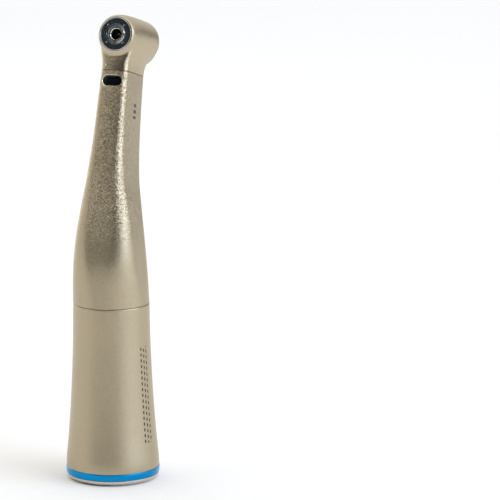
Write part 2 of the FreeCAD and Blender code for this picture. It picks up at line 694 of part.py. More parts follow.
SHELL = new_body("body_shell")
OUTSIDE = [rounded_section(SHELL, "outside_" + c, c, 0.0) for c in LETTERS]
lofted(SHELL, "shell_outside", OUTSIDE)
INSIDE = [rounded_section(SHELL, "inside_" + c, c, size("wall")) for c in LETTERS]
lofted(SHELL, "shell_inside", INSIDE, cut=True)

# ---------------------------------------------------------------- light, water, air

piped("light_guide", [
    (0, -5.75, 32.0), (0, -5.75, 38.0), (0, -5.62, 44.0), (0, -5.2, 49.5), (0, -4.62, 54.0),
    (0, -4.12, 57.4), neck_point(0, 3.7, 4.0), neck_point(0, 3.6, 9.0),
    neck_point(0, 3.65, 14.0), neck_point(0, 3.8, 19.0), neck_point(0, 4.05, 24.0),
    neck_point(0, 4.35, 28.1)],
    size("guide_rad"))
for tube, side in (("water_tube", -1), ("air_tube", 1)):
    piped(tube, [
        (side * 4.2, -4.2, 32.2), (side * 4.2, -4.2, 38.0), (side * 4.1, -4.1, 44.0),
        (side * 3.7, -3.7, 50.0), (side * 3.4, -3.3, 55.0), neck_point(side * 2.9, 3.3, 3.0),
        neck_point(side * 2.3, 3.6, 10.0), neck_point(side * 1.9, 3.75, 18.0),
        neck_point(side * 1.9, 3.75, 31.2)], size("pipe_rad"), size("pipe_bore"))

WINDOW = new_body("light_window")
WINDOW_FACE = new_sketch(WINDOW, "window_outline", "XY_Plane")
stadium(WINDOW_FACE, size("window_half"), size("window_rad"))
WINDOW_PAD = WINDOW.newObject("PartDesign::Pad", "window_pad")
WINDOW_PAD.Profile = WINDOW_FACE
WINDOW_PAD.setExpression("Length", formula("window_thick"))
WINDOW.Placement = neck_facing(size("window_at"), size("window_deep"))

WINDOW_CUT = new_sketch(SHELL, "window_opening", "XY_Plane",
                        neck_facing(size("window_at"), size("window_deep") + 1.55))
stadium(WINDOW_CUT, size("window_half"), size("window_rad"))
OPENING = SHELL.newObject("PartDesign::Pocket", "window_slot")
OPENING.Profile = WINDOW_CUT
OPENING.Length = 1.9

turned("spray_nozzle", "head", [
    ("0.14", "0"), ("nozzle_rad", "0"), ("nozzle_rad", "1.2"), ("nozzle_rad - 0.08", "1.3"),
    ("0.14", "1.3")])
place_freely(DOC.spray_nozzle, neck_facing(size("head_at") - size("nozzle_drop"),
                                           size("nozzle_base"), 0 - size("nozzle_side")))

# ---------------------------------------------------------------- head

HOUSING = turned("head_housing", "head", [
    ("0", "face_at - 0.05"), ("face_rad - 0.2", "face_at - 0.05"), ("face_rad - 0.1", "face_at"),
    ("face_rad", "face_at - 0.08"), ("4.05", "6.1"), ("4.24", "5.7"), ("4.36", "5.0"),
    ("4.5", "3.0"), ("4.62", "0.5"), ("4.7", "0 - 2.0"), ("4.78", "0 - 4.5"),
    ("rim_rad", "seam_at + 0.15"), ("rim_rad - 0.1", "seam_at"), ("0", "seam_at")])
# Neck of the head: distance below the head axis, half width, front, back, corner.
NECK_SECTIONS = [
    (7.6, "joint_half", "joint_front", "joint_back", 0.80),
    (6.7, "3.17", "5.75", "4.62", 0.90),
    (5.8, "3.3", "5.78", "4.95", 1.05),
    (4.9, "3.6", "5.76", "5.4", 1.25),
    (3.8, "4.0", "5.7", "5.9", 1.6),
    (2.6, "4.3", "5.6", "6.1", 2.0),
]
BLOCKS = []
for index, (drop, half, ahead, behind, corner) in enumerate(NECK_SECTIONS):
    block = new_sketch(HOUSING, "neck_block_%d" % index, "XZ_Plane",
                       offset_on("XZ_Plane", drop))
    rounded_box(block, size(half) if half in ALIASES else float(half),
                size(behind) if behind in ALIASES else float(behind),
                size(ahead) if ahead in ALIASES else float(ahead), corner,
                (half, behind, ahead))
    BLOCKS.append(block)
lofted(HOUSING, "neck_blend", BLOCKS)
groove(HOUSING, "bearing_cavity", [
    ("0", "face_at + 0.5"), ("3.55", "face_at + 0.5"), ("3.55", "5.9"), ("cavity_rad", "5.85"),
    ("cavity_rad", "0 - 5.5"), ("4.15", "0 - 5.5"), ("4.15", "seam_at - 0.5"),
    ("0", "seam_at - 0.5")])
drill(HOUSING, "tube_bore", "XZ_Plane", 7.6, [("0", "0", "tube_rad")], "3.4")
drill(HOUSING, "pinion_bore", "XZ_Plane", 4.25, [("0", "0", "3.05")], "3.0")
drill(HOUSING, "seal_bore", "XZ_Plane", 7.15, [("0", "0", "tube_rad + 0.3")], "0.3")
drill(HOUSING, "pipe_bores", "XZ_Plane", 7.6, [
    ("1.9", "3.75", "pipe_rad + 0.03"), ("0 - 1.9", "3.75", "pipe_rad + 0.03")], "1.4")
drill(HOUSING, "nozzle_bore", "XY_Plane", 6.75,
      [("0 - nozzle_side", "0 - nozzle_drop", "nozzle_rad")], "2.3")

turned("front_cap", "head", [
    ("2.9", "5.42"), ("3.48", "5.42"), ("3.48", "5.9"), ("3.42", "6.0"), ("3.42", "6.25"),
    ("3.28", "6.38"), ("3.24", "6.3"), ("2.3", "6.3"), ("2.12", "6.15"), ("2.12", "5.62"),
    ("2.9", "5.62")])
SPANNER = "0.70711 * spanner_at"
drill(DOC.front_cap, "spanner_holes", "XY_Plane", 6.6, [
    (SPANNER, SPANNER, "0.2"), ("0 - " + SPANNER, SPANNER, "0.2"),
    (SPANNER, "0 - " + SPANNER, "0.2"), ("0 - " + SPANNER, "0 - " + SPANNER, "0.2")], "0.75")

bearing("head_front_bearing", "head", "3.4", "chuck")
bearing("head_rear_bearing", "head", "0 - 5.5", "chuck")
turned("bearing_retainer", "head", [
    ("2.7", "0 - 5.8"), ("4.12", "0 - 5.8"), ("4.12", "0 - 5.52"), ("2.7", "0 - 5.52")])

SPINDLE = turned("chuck_spindle", "head", [
    ("1.75", "0 - 5.6"), ("1.95", "0 - 5.6"), ("spindle_rad", "0 - 5.5"),
    ("spindle_rad", "0 - 3.48"), ("spindle_mid", "0 - 3.45"), ("spindle_mid", "3.35"),
    ("spindle_rad", "3.38"), ("spindle_rad", "6.2"), ("1.9", "6.32"), ("1.72", "6.32"),
    ("1.46", "4.5"), ("1.46", "0 - 1.0"), ("1.7", "0 - 1.1"), ("1.7", "0 - 5.6")])
slot(SPINDLE, "mouth_slots_a", "XY_Plane", 6.5, box("2.2", "0.24"), "0.5")
slot(SPINDLE, "mouth_slots_b", "XY_Plane", 6.5, box("0.24", "2.2"), "0.5")

bevel_gear("chuck_gear", "head_back", int(size("head_teeth")), 45,
           size("head_gear_rad"), size("head_gear_in"), (0.22, 0.28),
           size("spindle_mid"), -3.33, (2.3, -3.34), True)

COLLET = turned("collet", "head", [
    ("0", "stem_end"), ("0.6", "stem_end"), ("0.7", "stem_end + 0.1"), ("0.7", "0 - 5.4"),
    ("1.6", "0 - 5.4"), ("1.6", "0 - 4.7"), ("collet_rad", "0 - 4.7"), ("collet_rad", "4.5"),
    ("1.62", "6.05"), ("1.55", "6.15"), ("bur_bore + 0.1", "6.15"), ("bur_bore", "6.05"),
    ("bur_bore", "0 - 4.4"), ("0", "0 - 4.4")])
slot(COLLET, "collet_slits_a", "XZ_Plane", 0.0, [
    ("0 - 0.1", "0.5"), ("0.1", "0.5"), ("0.1", "7.0"), ("0 - 0.1", "7.0")], "6", True)
slot(COLLET, "collet_slits_b", "YZ_Plane", 0.0, [
    ("0 - 0.1", "0.5"), ("0.1", "0.5"), ("0.1", "7.0"), ("0 - 0.1", "7.0")], "6", True)
coil("collet_spring", "head", "0 - 4.68", 1.55, 0.11, 3.5, 6)

turned("push_button", "head", [
    ("0", "button_end"), ("1.6", "button_end + 0.06"), ("2.8", "button_end + 0.3"),
    ("3.35", "button_end + 0.6"), ("button_rad", "0 - 7.35"), ("button_rad", "0 - 6.96"),
    ("3.8", "0 - 6.96"), ("3.8", "0 - 6.75"), ("3.3", "0 - 6.75"), ("3.3", "0 - 7.3"),
    ("0.8", "0 - 7.3"), ("0.8", "0 - 6.2"), ("0", "0 - 6.2")])
turned("button_spring", "head", [
    ("2.8", "0 - 5.82"), ("3.02", "0 - 5.82"), ("3.26", "0 - 7.28"), ("3.04", "0 - 7.28")])
turned("rear_cap", "head", [
    ("cap_bore", "0 - 6.98"), ("cap_bore", "cap_end + 0.1"), ("cap_bore + 0.1", "cap_end"),
    ("4.2", "cap_end"), ("4.55", "0 - 7.3"), ("4.76", "0 - 6.95"), ("rim_rad", "0 - 6.6"),
    ("rim_rad - 0.08", "seam_at - 0.02"), ("4.12", "seam_at - 0.02"), ("4.12", "0 - 5.82"),
    ("3.87", "0 - 5.82"), ("3.87", "0 - 6.98")])

# ---------------------------------------------------------------- check and write

PIECE_KINDS = ("PartDesign::Body", "Part::Feature")


def pieces():
    """Every finished piece of the document."""
    return [thing for thing in DOC.Objects if thing.TypeId in PIECE_KINDS]


DOC.recompute()
for thing in DOC.Objects:
    if "Invalid" in thing.State or "Error" in thing.State:
        raise RuntimeError("%s did not compute: %s" % (thing.Name, thing.State))
for thing in pieces():
    if thing.Shape.isNull() or not thing.Shape.isValid():
        raise RuntimeError("%s is not a valid solid" % thing.Label)

os.makedirs("parts", exist_ok=True)
for thing in pieces():
    thing.Shape.exportStep("parts/%s.step" % thing.Label)
print("%d pieces written" % len(pieces()))
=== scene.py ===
"""Contra angle handpiece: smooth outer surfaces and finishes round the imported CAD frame.

All shapes are worked out in millimetres and written to the meshes in metres. Three
frames are used: the handle axis (+Z), the neck axis (leaning towards +Y) and the head
axis (pointing out of the bur face, towards -Y).
"""

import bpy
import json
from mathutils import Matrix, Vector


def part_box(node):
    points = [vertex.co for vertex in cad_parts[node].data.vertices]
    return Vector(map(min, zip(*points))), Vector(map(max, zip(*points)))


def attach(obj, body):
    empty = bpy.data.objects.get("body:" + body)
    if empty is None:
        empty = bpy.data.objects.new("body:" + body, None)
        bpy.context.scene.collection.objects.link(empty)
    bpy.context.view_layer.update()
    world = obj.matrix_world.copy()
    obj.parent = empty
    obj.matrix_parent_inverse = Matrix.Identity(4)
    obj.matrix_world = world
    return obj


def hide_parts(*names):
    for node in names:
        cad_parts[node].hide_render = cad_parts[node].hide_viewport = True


bl_info = {
    "name": "Contra angle handpiece",
    "version": (1, 0, 0),
    "blender": (4, 5, 0),
    "location": "3D View > Sidebar > Handpiece",
    "description": "Surfaces, finishes and stage for a contra angle handpiece",
    "category": "Object",
}

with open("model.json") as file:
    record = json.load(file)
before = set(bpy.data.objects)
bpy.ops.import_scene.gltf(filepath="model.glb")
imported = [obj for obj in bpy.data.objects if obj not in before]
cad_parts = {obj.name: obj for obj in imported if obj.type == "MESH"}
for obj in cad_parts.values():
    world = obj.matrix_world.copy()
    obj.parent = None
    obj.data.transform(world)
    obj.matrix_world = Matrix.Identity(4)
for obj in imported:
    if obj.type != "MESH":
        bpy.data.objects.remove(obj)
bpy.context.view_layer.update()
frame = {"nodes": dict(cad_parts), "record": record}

import json
import math
from functools import partial

import bmesh
import bpy
import numpy as np
from mathutils import Matrix

MM = 0.001
BODY = "handpiece"

# Axes of the three frames, and the points they meet at, in millimetres.
BEND_ANGLE = math.radians(15)
ACROSS = np.array([1.0, 0.0, 0.0])
HANDLE = np.array([0.0, 0.0, 1.0])
NECK = np.array([0.0, math.sin(BEND_ANGLE), math.cos(BEND_ANGLE)])
BUR = np.array([0.0, -math.cos(BEND_ANGLE), math.sin(BEND_ANGLE)])
ORIGIN = np.zeros(3)
BEND = np.array([0.0, 0.0, 57.1])
HEAD = BEND + 38.2 * NECK
PART_Z = 38.2             # parting line on the handle


# ------------------------------------------------------------------ curves and grids

def gentle(knots, values, at):
    """A smooth curve through the knots that never overshoots them.

    Each gap is a cubic whose end slopes are the harmonic mean of the straight slopes
    on either side, or zero where the values turn back.
    """
    knots, values, at = (np.asarray(a, float) for a in (knots, values, at))
    gap = np.diff(knots)
    steep = np.diff(values) / gap
    product = steep[:-1] * steep[1:]
    total = np.where(steep[:-1] + steep[1:] == 0, 1.0, steep[:-1] + steep[1:])
    inner = np.where(product > 0, 2 * product / total, 0.0)
    slope = np.concatenate([steep[:1], inner, steep[-1:]])
    k = np.clip(np.searchsorted(knots, at, side="right") - 1, 0, len(gap) - 1)
    u = (at - knots[k]) / gap[k]
    a, b = values[k], values[k + 1]
    ma, mb = slope[k] * gap[k], slope[k + 1] * gap[k]
    return ((2 * u ** 3 - 3 * u ** 2 + 1) * a + (u ** 3 - 2 * u ** 2 + u) * ma
            + (3 * u ** 2 - 2 * u ** 3) * b + (u ** 3 - u ** 2) * mb)


def rounded(points, radii, closed=True, steps=6):
    """A polyline whose corners are rounded.

    A corner is replaced by the parabola that leaves one edge and joins the next at
    the given distance from the corner; a short support point stands on either side.
    """
    points = np.asarray(points, float)
    count = len(points)
    radii = np.broadcast_to(np.asarray(radii, float), count)
    u = np.linspace(0, 1, steps)[:, None]
    pieces = []
    for index, (here, size) in enumerate(zip(points, radii)):
        if size == 0 or (not closed and index in (0, count - 1)):
            pieces.append([here])
            continue
        ways = points[[index - 1, (index + 1) % count]] - here
        far = np.linalg.norm(ways, axis=1)
        back, ahead = ways / far[:, None] * min(size, 0.45 * far.min())
        bow = (1 - u) ** 2 * (here + back) + 2 * u * (1 - u) * here + u ** 2 * (here + ahead)
        pieces += [[here + 1.1 * back], bow, [here + 1.1 * ahead]]
    return np.vstack(pieces)


def new_piece(name, points, closed=False, crease=35.0):
    """A mesh object from rings of points in millimetres, welded and facing outwards.

    Point[r, c] is the c-th point of ring r. Quads join neighbouring rings, and `closed`
    also joins the last ring to the first.
    """
    rings, count = points.shape[:2]
    r, c = np.meshgrid(np.arange(rings if closed else rings - 1), np.arange(count),
                       indexing="ij")
    r2, c2 = (r + 1) % rings, (c + 1) % count
    faces = np.stack([r * count + c, r * count + c2, r2 * count + c2, r2 * count + c],
                     axis=-1).reshape(-1, 4)
    mesh = bpy.data.meshes.new(name)
    mesh.from_pydata(points.reshape(-1, 3) * MM, [], faces)
    mesh.validate()
    work = bmesh.new()
    work.from_mesh(mesh)
    bmesh.ops.remove_doubles(work, verts=work.verts, dist=1e-7)
    bmesh.ops.dissolve_degenerate(work, edges=work.edges, dist=1e-8)
    bmesh.ops.recalc_face_normals(work, faces=work.faces)
    work.to_mesh(mesh)
    work.free()
    smooth(mesh, crease)
    piece = bpy.data.objects.new(name, mesh)
    bpy.context.scene.collection.objects.link(piece)
    return piece


def smooth(mesh, crease):
    """Smooth shading, except across the edges sharper than `crease` degrees."""
    mesh.shade_smooth()
    mesh.set_sharp_from_angle(angle=math.radians(crease))


def turned_surface(name, outline, base, axis, segments=192, closed=True):
    """A surface of revolution.

    Point(u, v) = base + along(v) * axis + radius(v) * (cos u * across + sin u * third),
    for an outline of (radius, along) points.
    """
    outline = np.asarray(outline, float)
    turn = np.linspace(0, 2 * np.pi, segments, endpoint=False)
    spoke = np.cos(turn)[:, None] * ACROSS + np.sin(turn)[:, None] * np.cross(axis, ACROSS)
    points = (base + outline[:, 1][:, None, None] * axis
              + outline[:, 0][:, None, None] * spoke[None])
    return new_piece(name, points, closed)


def fit_out(piece, slot, material, *nodes, body=BODY):
    """Give a piece its material and its body, and hide the CAD nodes it stands for; `slot` is not
    used.
    """
    if material is not None:
        piece.data.materials.append(material)
    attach(piece, body)
    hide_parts(*nodes)


def cut_from(piece, cutter):
    """Subtract a closed cutter from a piece and drop the cutter."""
    bpy.context.view_layer.update()
    cutting = piece.modifiers.new("cut", "BOOLEAN")
    cutting.operation, cutting.solver = "DIFFERENCE", "EXACT"
    cutting.material_mode, cutting.object = "TRANSFER", cutter
    ready = piece.evaluated_get(bpy.context.evaluated_depsgraph_get())
    mesh = bpy.data.meshes.new_from_object(ready)
    piece.modifiers.clear()
    old, piece.data = piece.data, mesh
    bpy.data.meshes.remove(old)
    bpy.data.meshes.remove(cutter.data)
    smooth(mesh, 30)


# ------------------------------------------------------------------ body shell

STRAIGHT = 4.9            # straight run above the parting line
BEND_TANGENT = 14.0       # from the start of the bend to where the axes meet
SHELL_LENGTH = 49.33      # path length of the shell
WINDOW_RIM = 5.82         # neck axis to the foot of the window's chamfer
LENS_LOW = 5.2            # neck axis to the back of the window lens
LENS_HIGH = 5.45          # neck axis to the edge of its face
PATH_KNOTS = [0, 8, 15, 21, 27, 34, 42, 49.6]
HALF_WIDTH = [8.20, 7.36, 6.50, 5.53, 4.42, 3.79, 3.42, 3.21]
FRONT_DEPTH = [8.22, 7.76, 6.82, 6.38, 6.33, 6.07, 6.02, 5.71]
BACK_DEPTH = [8.18, 6.93, 5.64, 5.30, 5.29, 5.10, 4.75, 4.50]
CORNER = [8.15, 5.57, 3.58, 2.7, 1.95, 1.5, 1.25, 1.1]
FACE_CROWN = [0.0, 0.1, 0.25, 0.36, 0.36, 0.32, 0.28, 0.25]
SIDE_CROWN = [0.0, 0.05, 0.15, 0.25, 0.28, 0.28, 0.25, 0.2]


def bent_path(s):
    """Centre and direction of the shell at path length s.

    A straight run up the handle axis, a circular arc that turns by the bend angle,
    and a straight run along the neck axis.
    """
    radius = BEND_TANGENT / math.tan(BEND_ANGLE / 2)
    turn = np.clip((s - STRAIGHT) / radius, 0, BEND_ANGLE)
    rise = np.minimum(s, STRAIGHT)
    past = np.maximum(s - STRAIGHT - radius * BEND_ANGLE, 0)
    y = radius * (1 - np.cos(turn)) + past * math.sin(BEND_ANGLE)
    z = PART_Z + rise + radius * np.sin(turn) + past * math.cos(BEND_ANGLE)
    zero = np.zeros_like(y)
    centre = np.stack([zero, y, z], axis=-1)
    along = np.stack([zero, np.sin(turn), np.cos(turn)], axis=-1)
    ahead = np.stack([zero, -np.cos(turn), np.sin(turn)], axis=-1)
    return centre, along, ahead


def section_rings(s, inset, arc_steps=22, flat_steps=9):
    """Rings of the shell at path lengths s, set in by `inset`.

    Each ring is a box with four round corners: for every corner an arc of samples,
    then samples spread evenly along the side to the next corner. The sides are then
    crowned: front and back by crown * (1 - (x / half)^2), and the flanks likewise.
    """
    half, front, back, corner = (gentle(PATH_KNOTS, values, s)
                                 for values in (HALF_WIDTH, FRONT_DEPTH, BACK_DEPTH, CORNER))
    half, front, back = half - inset, front - inset, back - inset
    corner = np.maximum(corner - inset, 0.25)
    signs = np.array([(1, 1), (-1, 1), (-1, -1), (1, -1)])
    reach = np.stack([front, front, back, back], axis=-1)
    centres = np.stack([signs[:, 0] * (half - corner)[:, None],
                        signs[:, 1] * (reach - corner[:, None])])
    start = np.array([0, 90, 180, 270])
    angle = np.radians(start[:, None] + np.linspace(0, 90, arc_steps))
    spokes = np.stack([np.cos(angle), np.sin(angle)])[:, None]
    arcs = centres[..., None] + corner[:, None, None] * spokes
    mix = np.linspace(0, 1, flat_steps + 2)[1:-1]
    flats = arcs[..., -1:] * (1 - mix) + np.roll(arcs, -1, axis=2)[..., :1] * mix
    ring_x, ring_f = np.concatenate([arcs, flats], axis=-1).reshape(2, len(s), -1)
    face = gentle(PATH_KNOTS, FACE_CROWN, s)[:, None]
    side = gentle(PATH_KNOTS, SIDE_CROWN, s)[:, None]
    middle, depth = ((front - back) / 2)[:, None], ((front + back) / 2)[:, None]
    level = (ring_f - middle) / depth
    across = ring_x / half[:, None]
    ring_f = ring_f + face * level * (1 - across ** 2)
    ring_x = ring_x + side * across * (1 - level ** 2) - side * across
    centre, along, ahead = bent_path(s)
    return centre[:, None] + ring_x[..., None] * ACROSS + ring_f[..., None] * ahead[:, None]


def shell_surface(name, wall, lip):
    """The body shell as one closed skin.

    The outer rings run from the parting line to the joint, step in over a chamfer of
    size `lip` at either end, and return as inner rings, set in by the wall.
    """
    path = np.linspace(lip, SHELL_LENGTH - lip, 170)
    outer = section_rings(path, 0.0)
    top_lip = section_rings(np.array([SHELL_LENGTH - 0.02, SHELL_LENGTH]), lip * 0.9)
    top_rim = section_rings(np.array([SHELL_LENGTH]), wall)
    inner = section_rings(path[::-3], wall)
    low_rim = section_rings(np.array([0.0]), wall)
    low_lip = section_rings(np.array([0.0]), lip * 0.7)
    rings = np.concatenate([outer, top_lip, top_rim, inner, low_rim, low_lip])
    return new_piece(name, rings, True, 30)


def stadium(half, radius, steps=40):
    """Outline of a slot with full round ends: two half circles joined by straight runs."""
    turn = np.linspace(-np.pi / 2, np.pi / 2, steps)
    run = half - radius
    right = np.stack([run + radius * np.cos(turn), radius * np.sin(turn)], axis=-1)
    return np.vstack([right, -right])


def in_head_axes(base, across, up, out):
    """Points at base + across * x axis + up * neck axis + out * bur axis."""
    return base + across[..., None] * ACROSS + up[..., None] * NECK + out[..., None] * BUR


def slot_stack(name, outlines, heights, base):
    """Slot outlines stacked at heights above `base` along the bur axis, ends closed.

    Each end is closed by rows that shrink the last outline to its middle.
    """
    shrink = np.array([0.0, 0.5, 0.85])[:, None, None]
    rows = np.concatenate([outlines[0] * shrink, outlines, outlines[-1] * shrink[::-1]])
    heights = np.concatenate([[heights[0]] * 3, heights, [heights[-1]] * 3])
    return new_piece(name, in_head_axes(base, rows[..., 0], rows[..., 1], heights[:, None]),
                     crease=30)


def domed_slot(name, half, radius, low, high, base, dome=0.06, edge=0.08):
    """A slot-shaped lens: a straight side wall, a small edge and a shallow dome on top.

    The dome's rows shrink by `scale` from 1 to 0, and rise as dome * (1 - scale^2).
    """
    outline = stadium(half, radius)
    scale = np.linspace(1, 0, 12)
    top = stadium(half - edge, radius - edge) * scale[:, None, None]
    rows = np.concatenate([[outline * 0.0, outline * 0.6, outline, outline], top])
    heights = np.concatenate([[low, low, low, high - edge], high + dome * (1 - scale ** 2)])
    return new_piece(name, in_head_axes(base, rows[..., 0], rows[..., 1], heights[:, None]),
                     crease=40)


# ------------------------------------------------------------------ head

BARREL_ALONG = [-6.2, -4.5, -2.0, 0.5, 3.0, 4.6, 5.5, 5.95, 6.2, 6.34]
BARREL_RADIUS = [4.80, 4.80, 4.76, 4.69, 4.55, 4.38, 4.22, 4.10, 3.99, 3.86]
BARREL_REAR = 4.78        # radius where the search for the skin ends
SEARCH = 2.0, 13.0        # nearest and farthest skin, from the head centre
NECK_DROPS = [-9.0, -7.6, -6.4, -5.4, -4.4, -3.0]
NECK_HALF = [3.19, 3.21, 3.25, 3.37, 3.6, 3.9]
NECK_FRONT = [5.69, 5.71, 5.70, 5.66, 5.58, 5.5]
NECK_BACK = [4.47, 4.50, 4.60, 4.85, 5.1, 5.3]
NECK_CORNER = 1.1         # corner radius of the neck under the head
NECK_TOP = -1.5           # where the neck ends inside the barrel
HEAD_FILLET = 0.45        # round between the barrel and the neck
HEAD_SWELL = 0.4          # how far the barrel swells underneath
SWELL_RUN = 0.5           # distance over which that swell fades out at the face
JOINT_DROP = 7.6          # head axis down to the joint with the body
FACE_EDGE = 3.83          # outer edge of the bright face rim
BEVEL_EDGE = 3.43         # inner edge of the face cap's bevel
SPANNER_RING = 2.62       # bur axis to the spanner holes of the face cap


def soft_min(a, b, reach):
    """The smaller of two fields, joined by a round fillet of about `reach`."""
    blend = np.clip(0.5 + 0.5 * (b - a) / reach, 0, 1)
    return b * (1 - blend) + a * blend - reach * blend * (1 - blend)


def head_field(x, up, out):
    """Below zero inside the head.

    The barrel is the distance from the bur axis less its radius there, and it swells
    underneath by a cosine squared of the angle from straight down. The neck is the
    distance to a box with round corners whose size changes with height. The two are
    joined by a fillet.
    """
    rear, face = BARREL_ALONG[0], BARREL_ALONG[-1]
    away = np.hypot(x, up)
    under = np.clip(-up / np.maximum(away, 1e-6), 0, 1)
    swell = HEAD_SWELL * under ** 2 * np.clip((face - out) / SWELL_RUN, 0, 1)
    barrel = away - swell - gentle(BARREL_ALONG, BARREL_RADIUS, np.clip(out, rear, face))
    drop = np.clip(up, NECK_DROPS[0], NECK_DROPS[-1])
    half, front, back = (gentle(NECK_DROPS, values, drop)
                         for values in (NECK_HALF, NECK_FRONT, NECK_BACK))
    middle = (front - back) / 2
    depth = (front + back) / 2
    level = np.clip((out - middle) / depth, -1, 1)
    across = np.clip(x / half, -1, 1)
    depth = depth + FACE_CROWN[-1] * (1 - across ** 2)
    half = half - SIDE_CROWN[-1] * level ** 2
    over_x = np.abs(x) - (half - NECK_CORNER)
    over_f = np.abs(out - middle) - (depth - NECK_CORNER)
    outside = np.hypot(np.maximum(over_x, 0), np.maximum(over_f, 0))
    neck = outside + np.minimum(np.maximum(over_x, over_f), 0) - NECK_CORNER
    neck = np.maximum(neck, up - NECK_TOP)
    return soft_min(barrel, neck, HEAD_FILLET)


def head_rings():
    """The outside of the head, as rings of points.

    Rays leave the head centre at polar angle v from the bur axis and angle u round it.
    The distance along each ray is where the head field crosses zero, found by halving
    an interval for all rays at once; the rays stand closer together towards the neck.
    The face rim and the rear seat are rings of (radius, along) points that continue the
    first and the last rays.
    """
    even = np.linspace(0, 2 * np.pi, 360, endpoint=False)
    turn = even - 0.45 * np.sin(even) - np.pi / 2
    first = math.atan2(BARREL_RADIUS[-1], BARREL_ALONG[-1])
    last = math.atan2(BARREL_REAR, BARREL_ALONG[0])
    tilt, turn_grid = np.meshgrid(np.linspace(first, last, 210), turn, indexing="ij")
    ray = np.stack([np.sin(tilt) * np.cos(turn_grid), np.sin(tilt) * np.sin(turn_grid),
                    np.cos(tilt)])
    near = np.full(tilt.shape, SEARCH[0])
    far = np.minimum(SEARCH[1], (JOINT_DROP + 1.0) / np.maximum(-ray[1], 1e-3))
    for _ in range(40):
        middle = (near + far) / 2
        inside = head_field(*(ray * middle)) < 0
        near = np.where(inside, middle, near)
        far = np.where(inside, far, middle)

    def rings(outline):
        """Rings round the bur axis with the turns of the rays."""
        radius, along = np.array(outline).T[..., None]
        return in_head_axes(HEAD, radius * np.cos(turn), radius * np.sin(turn), along)

    face = rings([(3.50, 5.0), (3.64, 5.0), (3.64, 6.26), (3.66, 6.36), (3.69, 6.40),
                  (3.77, 6.40), (FACE_EDGE, 6.37)])
    rear = rings([(4.74, -6.2), (4.66, -6.2), (4.10, -6.2), (3.8, -5.6), (3.42, -5.4)])
    return np.concatenate([face, in_head_axes(HEAD, *(ray * near)), rear])


def flat_cut(piece, point, normal):
    """Cut a piece by a plane, drop what lies beyond it and close the cut."""
    work = bmesh.new()
    work.from_mesh(piece.data)
    parts = work.verts[:] + work.edges[:] + work.faces[:]
    bmesh.ops.bisect_plane(work, geom=parts, dist=1e-8, plane_co=point * MM,
                           plane_no=normal, clear_outer=True)
    rim = [edge for edge in work.edges if edge.is_boundary]
    bmesh.ops.holes_fill(work, edges=rim, sides=0)
    bmesh.ops.recalc_face_normals(work, faces=work.faces)
    work.to_mesh(piece.data)
    work.free()
    smooth(piece.data, 35)


def about_bur(piece):
    """Radius from the bur axis and distance along it, for the middle of every face."""
    middle = np.empty(len(piece.data.polygons) * 3, np.float32)
    piece.data.polygons.foreach_get("center", middle)
    offset = middle.reshape(-1, 3) / MM - HEAD
    along = offset @ BUR
    return np.linalg.norm(offset - along[:, None] * BUR, axis=1), along


def paint(piece, material, chosen):
    """Give the chosen faces a second material."""
    piece.data.materials.append(material)
    slots = np.empty(len(chosen), np.int32)
    piece.data.polygons.foreach_get("material_index", slots)
    slots[chosen] = len(piece.data.materials) - 1
    piece.data.polygons.foreach_set("material_index", slots)


# ------------------------------------------------------------------ shader groups

def new_group(name, inputs, outputs):
    """An empty shader node group with named sockets; inputs are (name, kind, default).

    Returns the group, the sockets that bring its inputs and those that take its outputs.
    """
    group = bpy.data.node_groups.new(name, "ShaderNodeTree")
    for label, kind, default in inputs:
        socket = group.interface.new_socket(label, in_out="INPUT", socket_type=kind)
        if default is not None:
            socket.default_value = default
    for label, kind in outputs:
        group.interface.new_socket(label, in_out="OUTPUT", socket_type=kind)
    return (group, group.nodes.new("NodeGroupInput").outputs,
            group.nodes.new("NodeGroupOutput").inputs)


def node(tree, kind, links=None, **settings):
    """A node with its settings, and its inputs given as links or plain values."""
    made = tree.nodes.new(kind)
    for label, value in settings.items():
        setattr(made, label, value)
    for label, source in (links or {}).items():
        if isinstance(source, bpy.types.NodeSocket):
            tree.links.new(source, made.inputs[label])
        else:
            made.inputs[label].default_value = source
    return made


def math_node(tree, operation, *values):
    """A Math node; returns its output."""
    return node(tree, "ShaderNodeMath", dict(enumerate(values)), operation=operation).outputs[0]


def vector_node(tree, operation, *values, **scale):
    """A Vector Math node; returns its output."""
    links = {**dict(enumerate(values)), **scale}
    return node(tree, "ShaderNodeVectorMath", links, operation=operation).outputs[0]


def deliver(group, end, **sources):
    """Link the sources to the group's outputs of the same names; returns the group."""
    for label, source in sources.items():
        group.links.new(source, end[label])
    return group


VECTOR, FLOAT, COLOUR = "NodeSocketVector", "NodeSocketFloat", "NodeSocketColor"
SKIN_OUTPUTS = [("Colour", COLOUR), ("Roughness", FLOAT), ("Normal", VECTOR)]


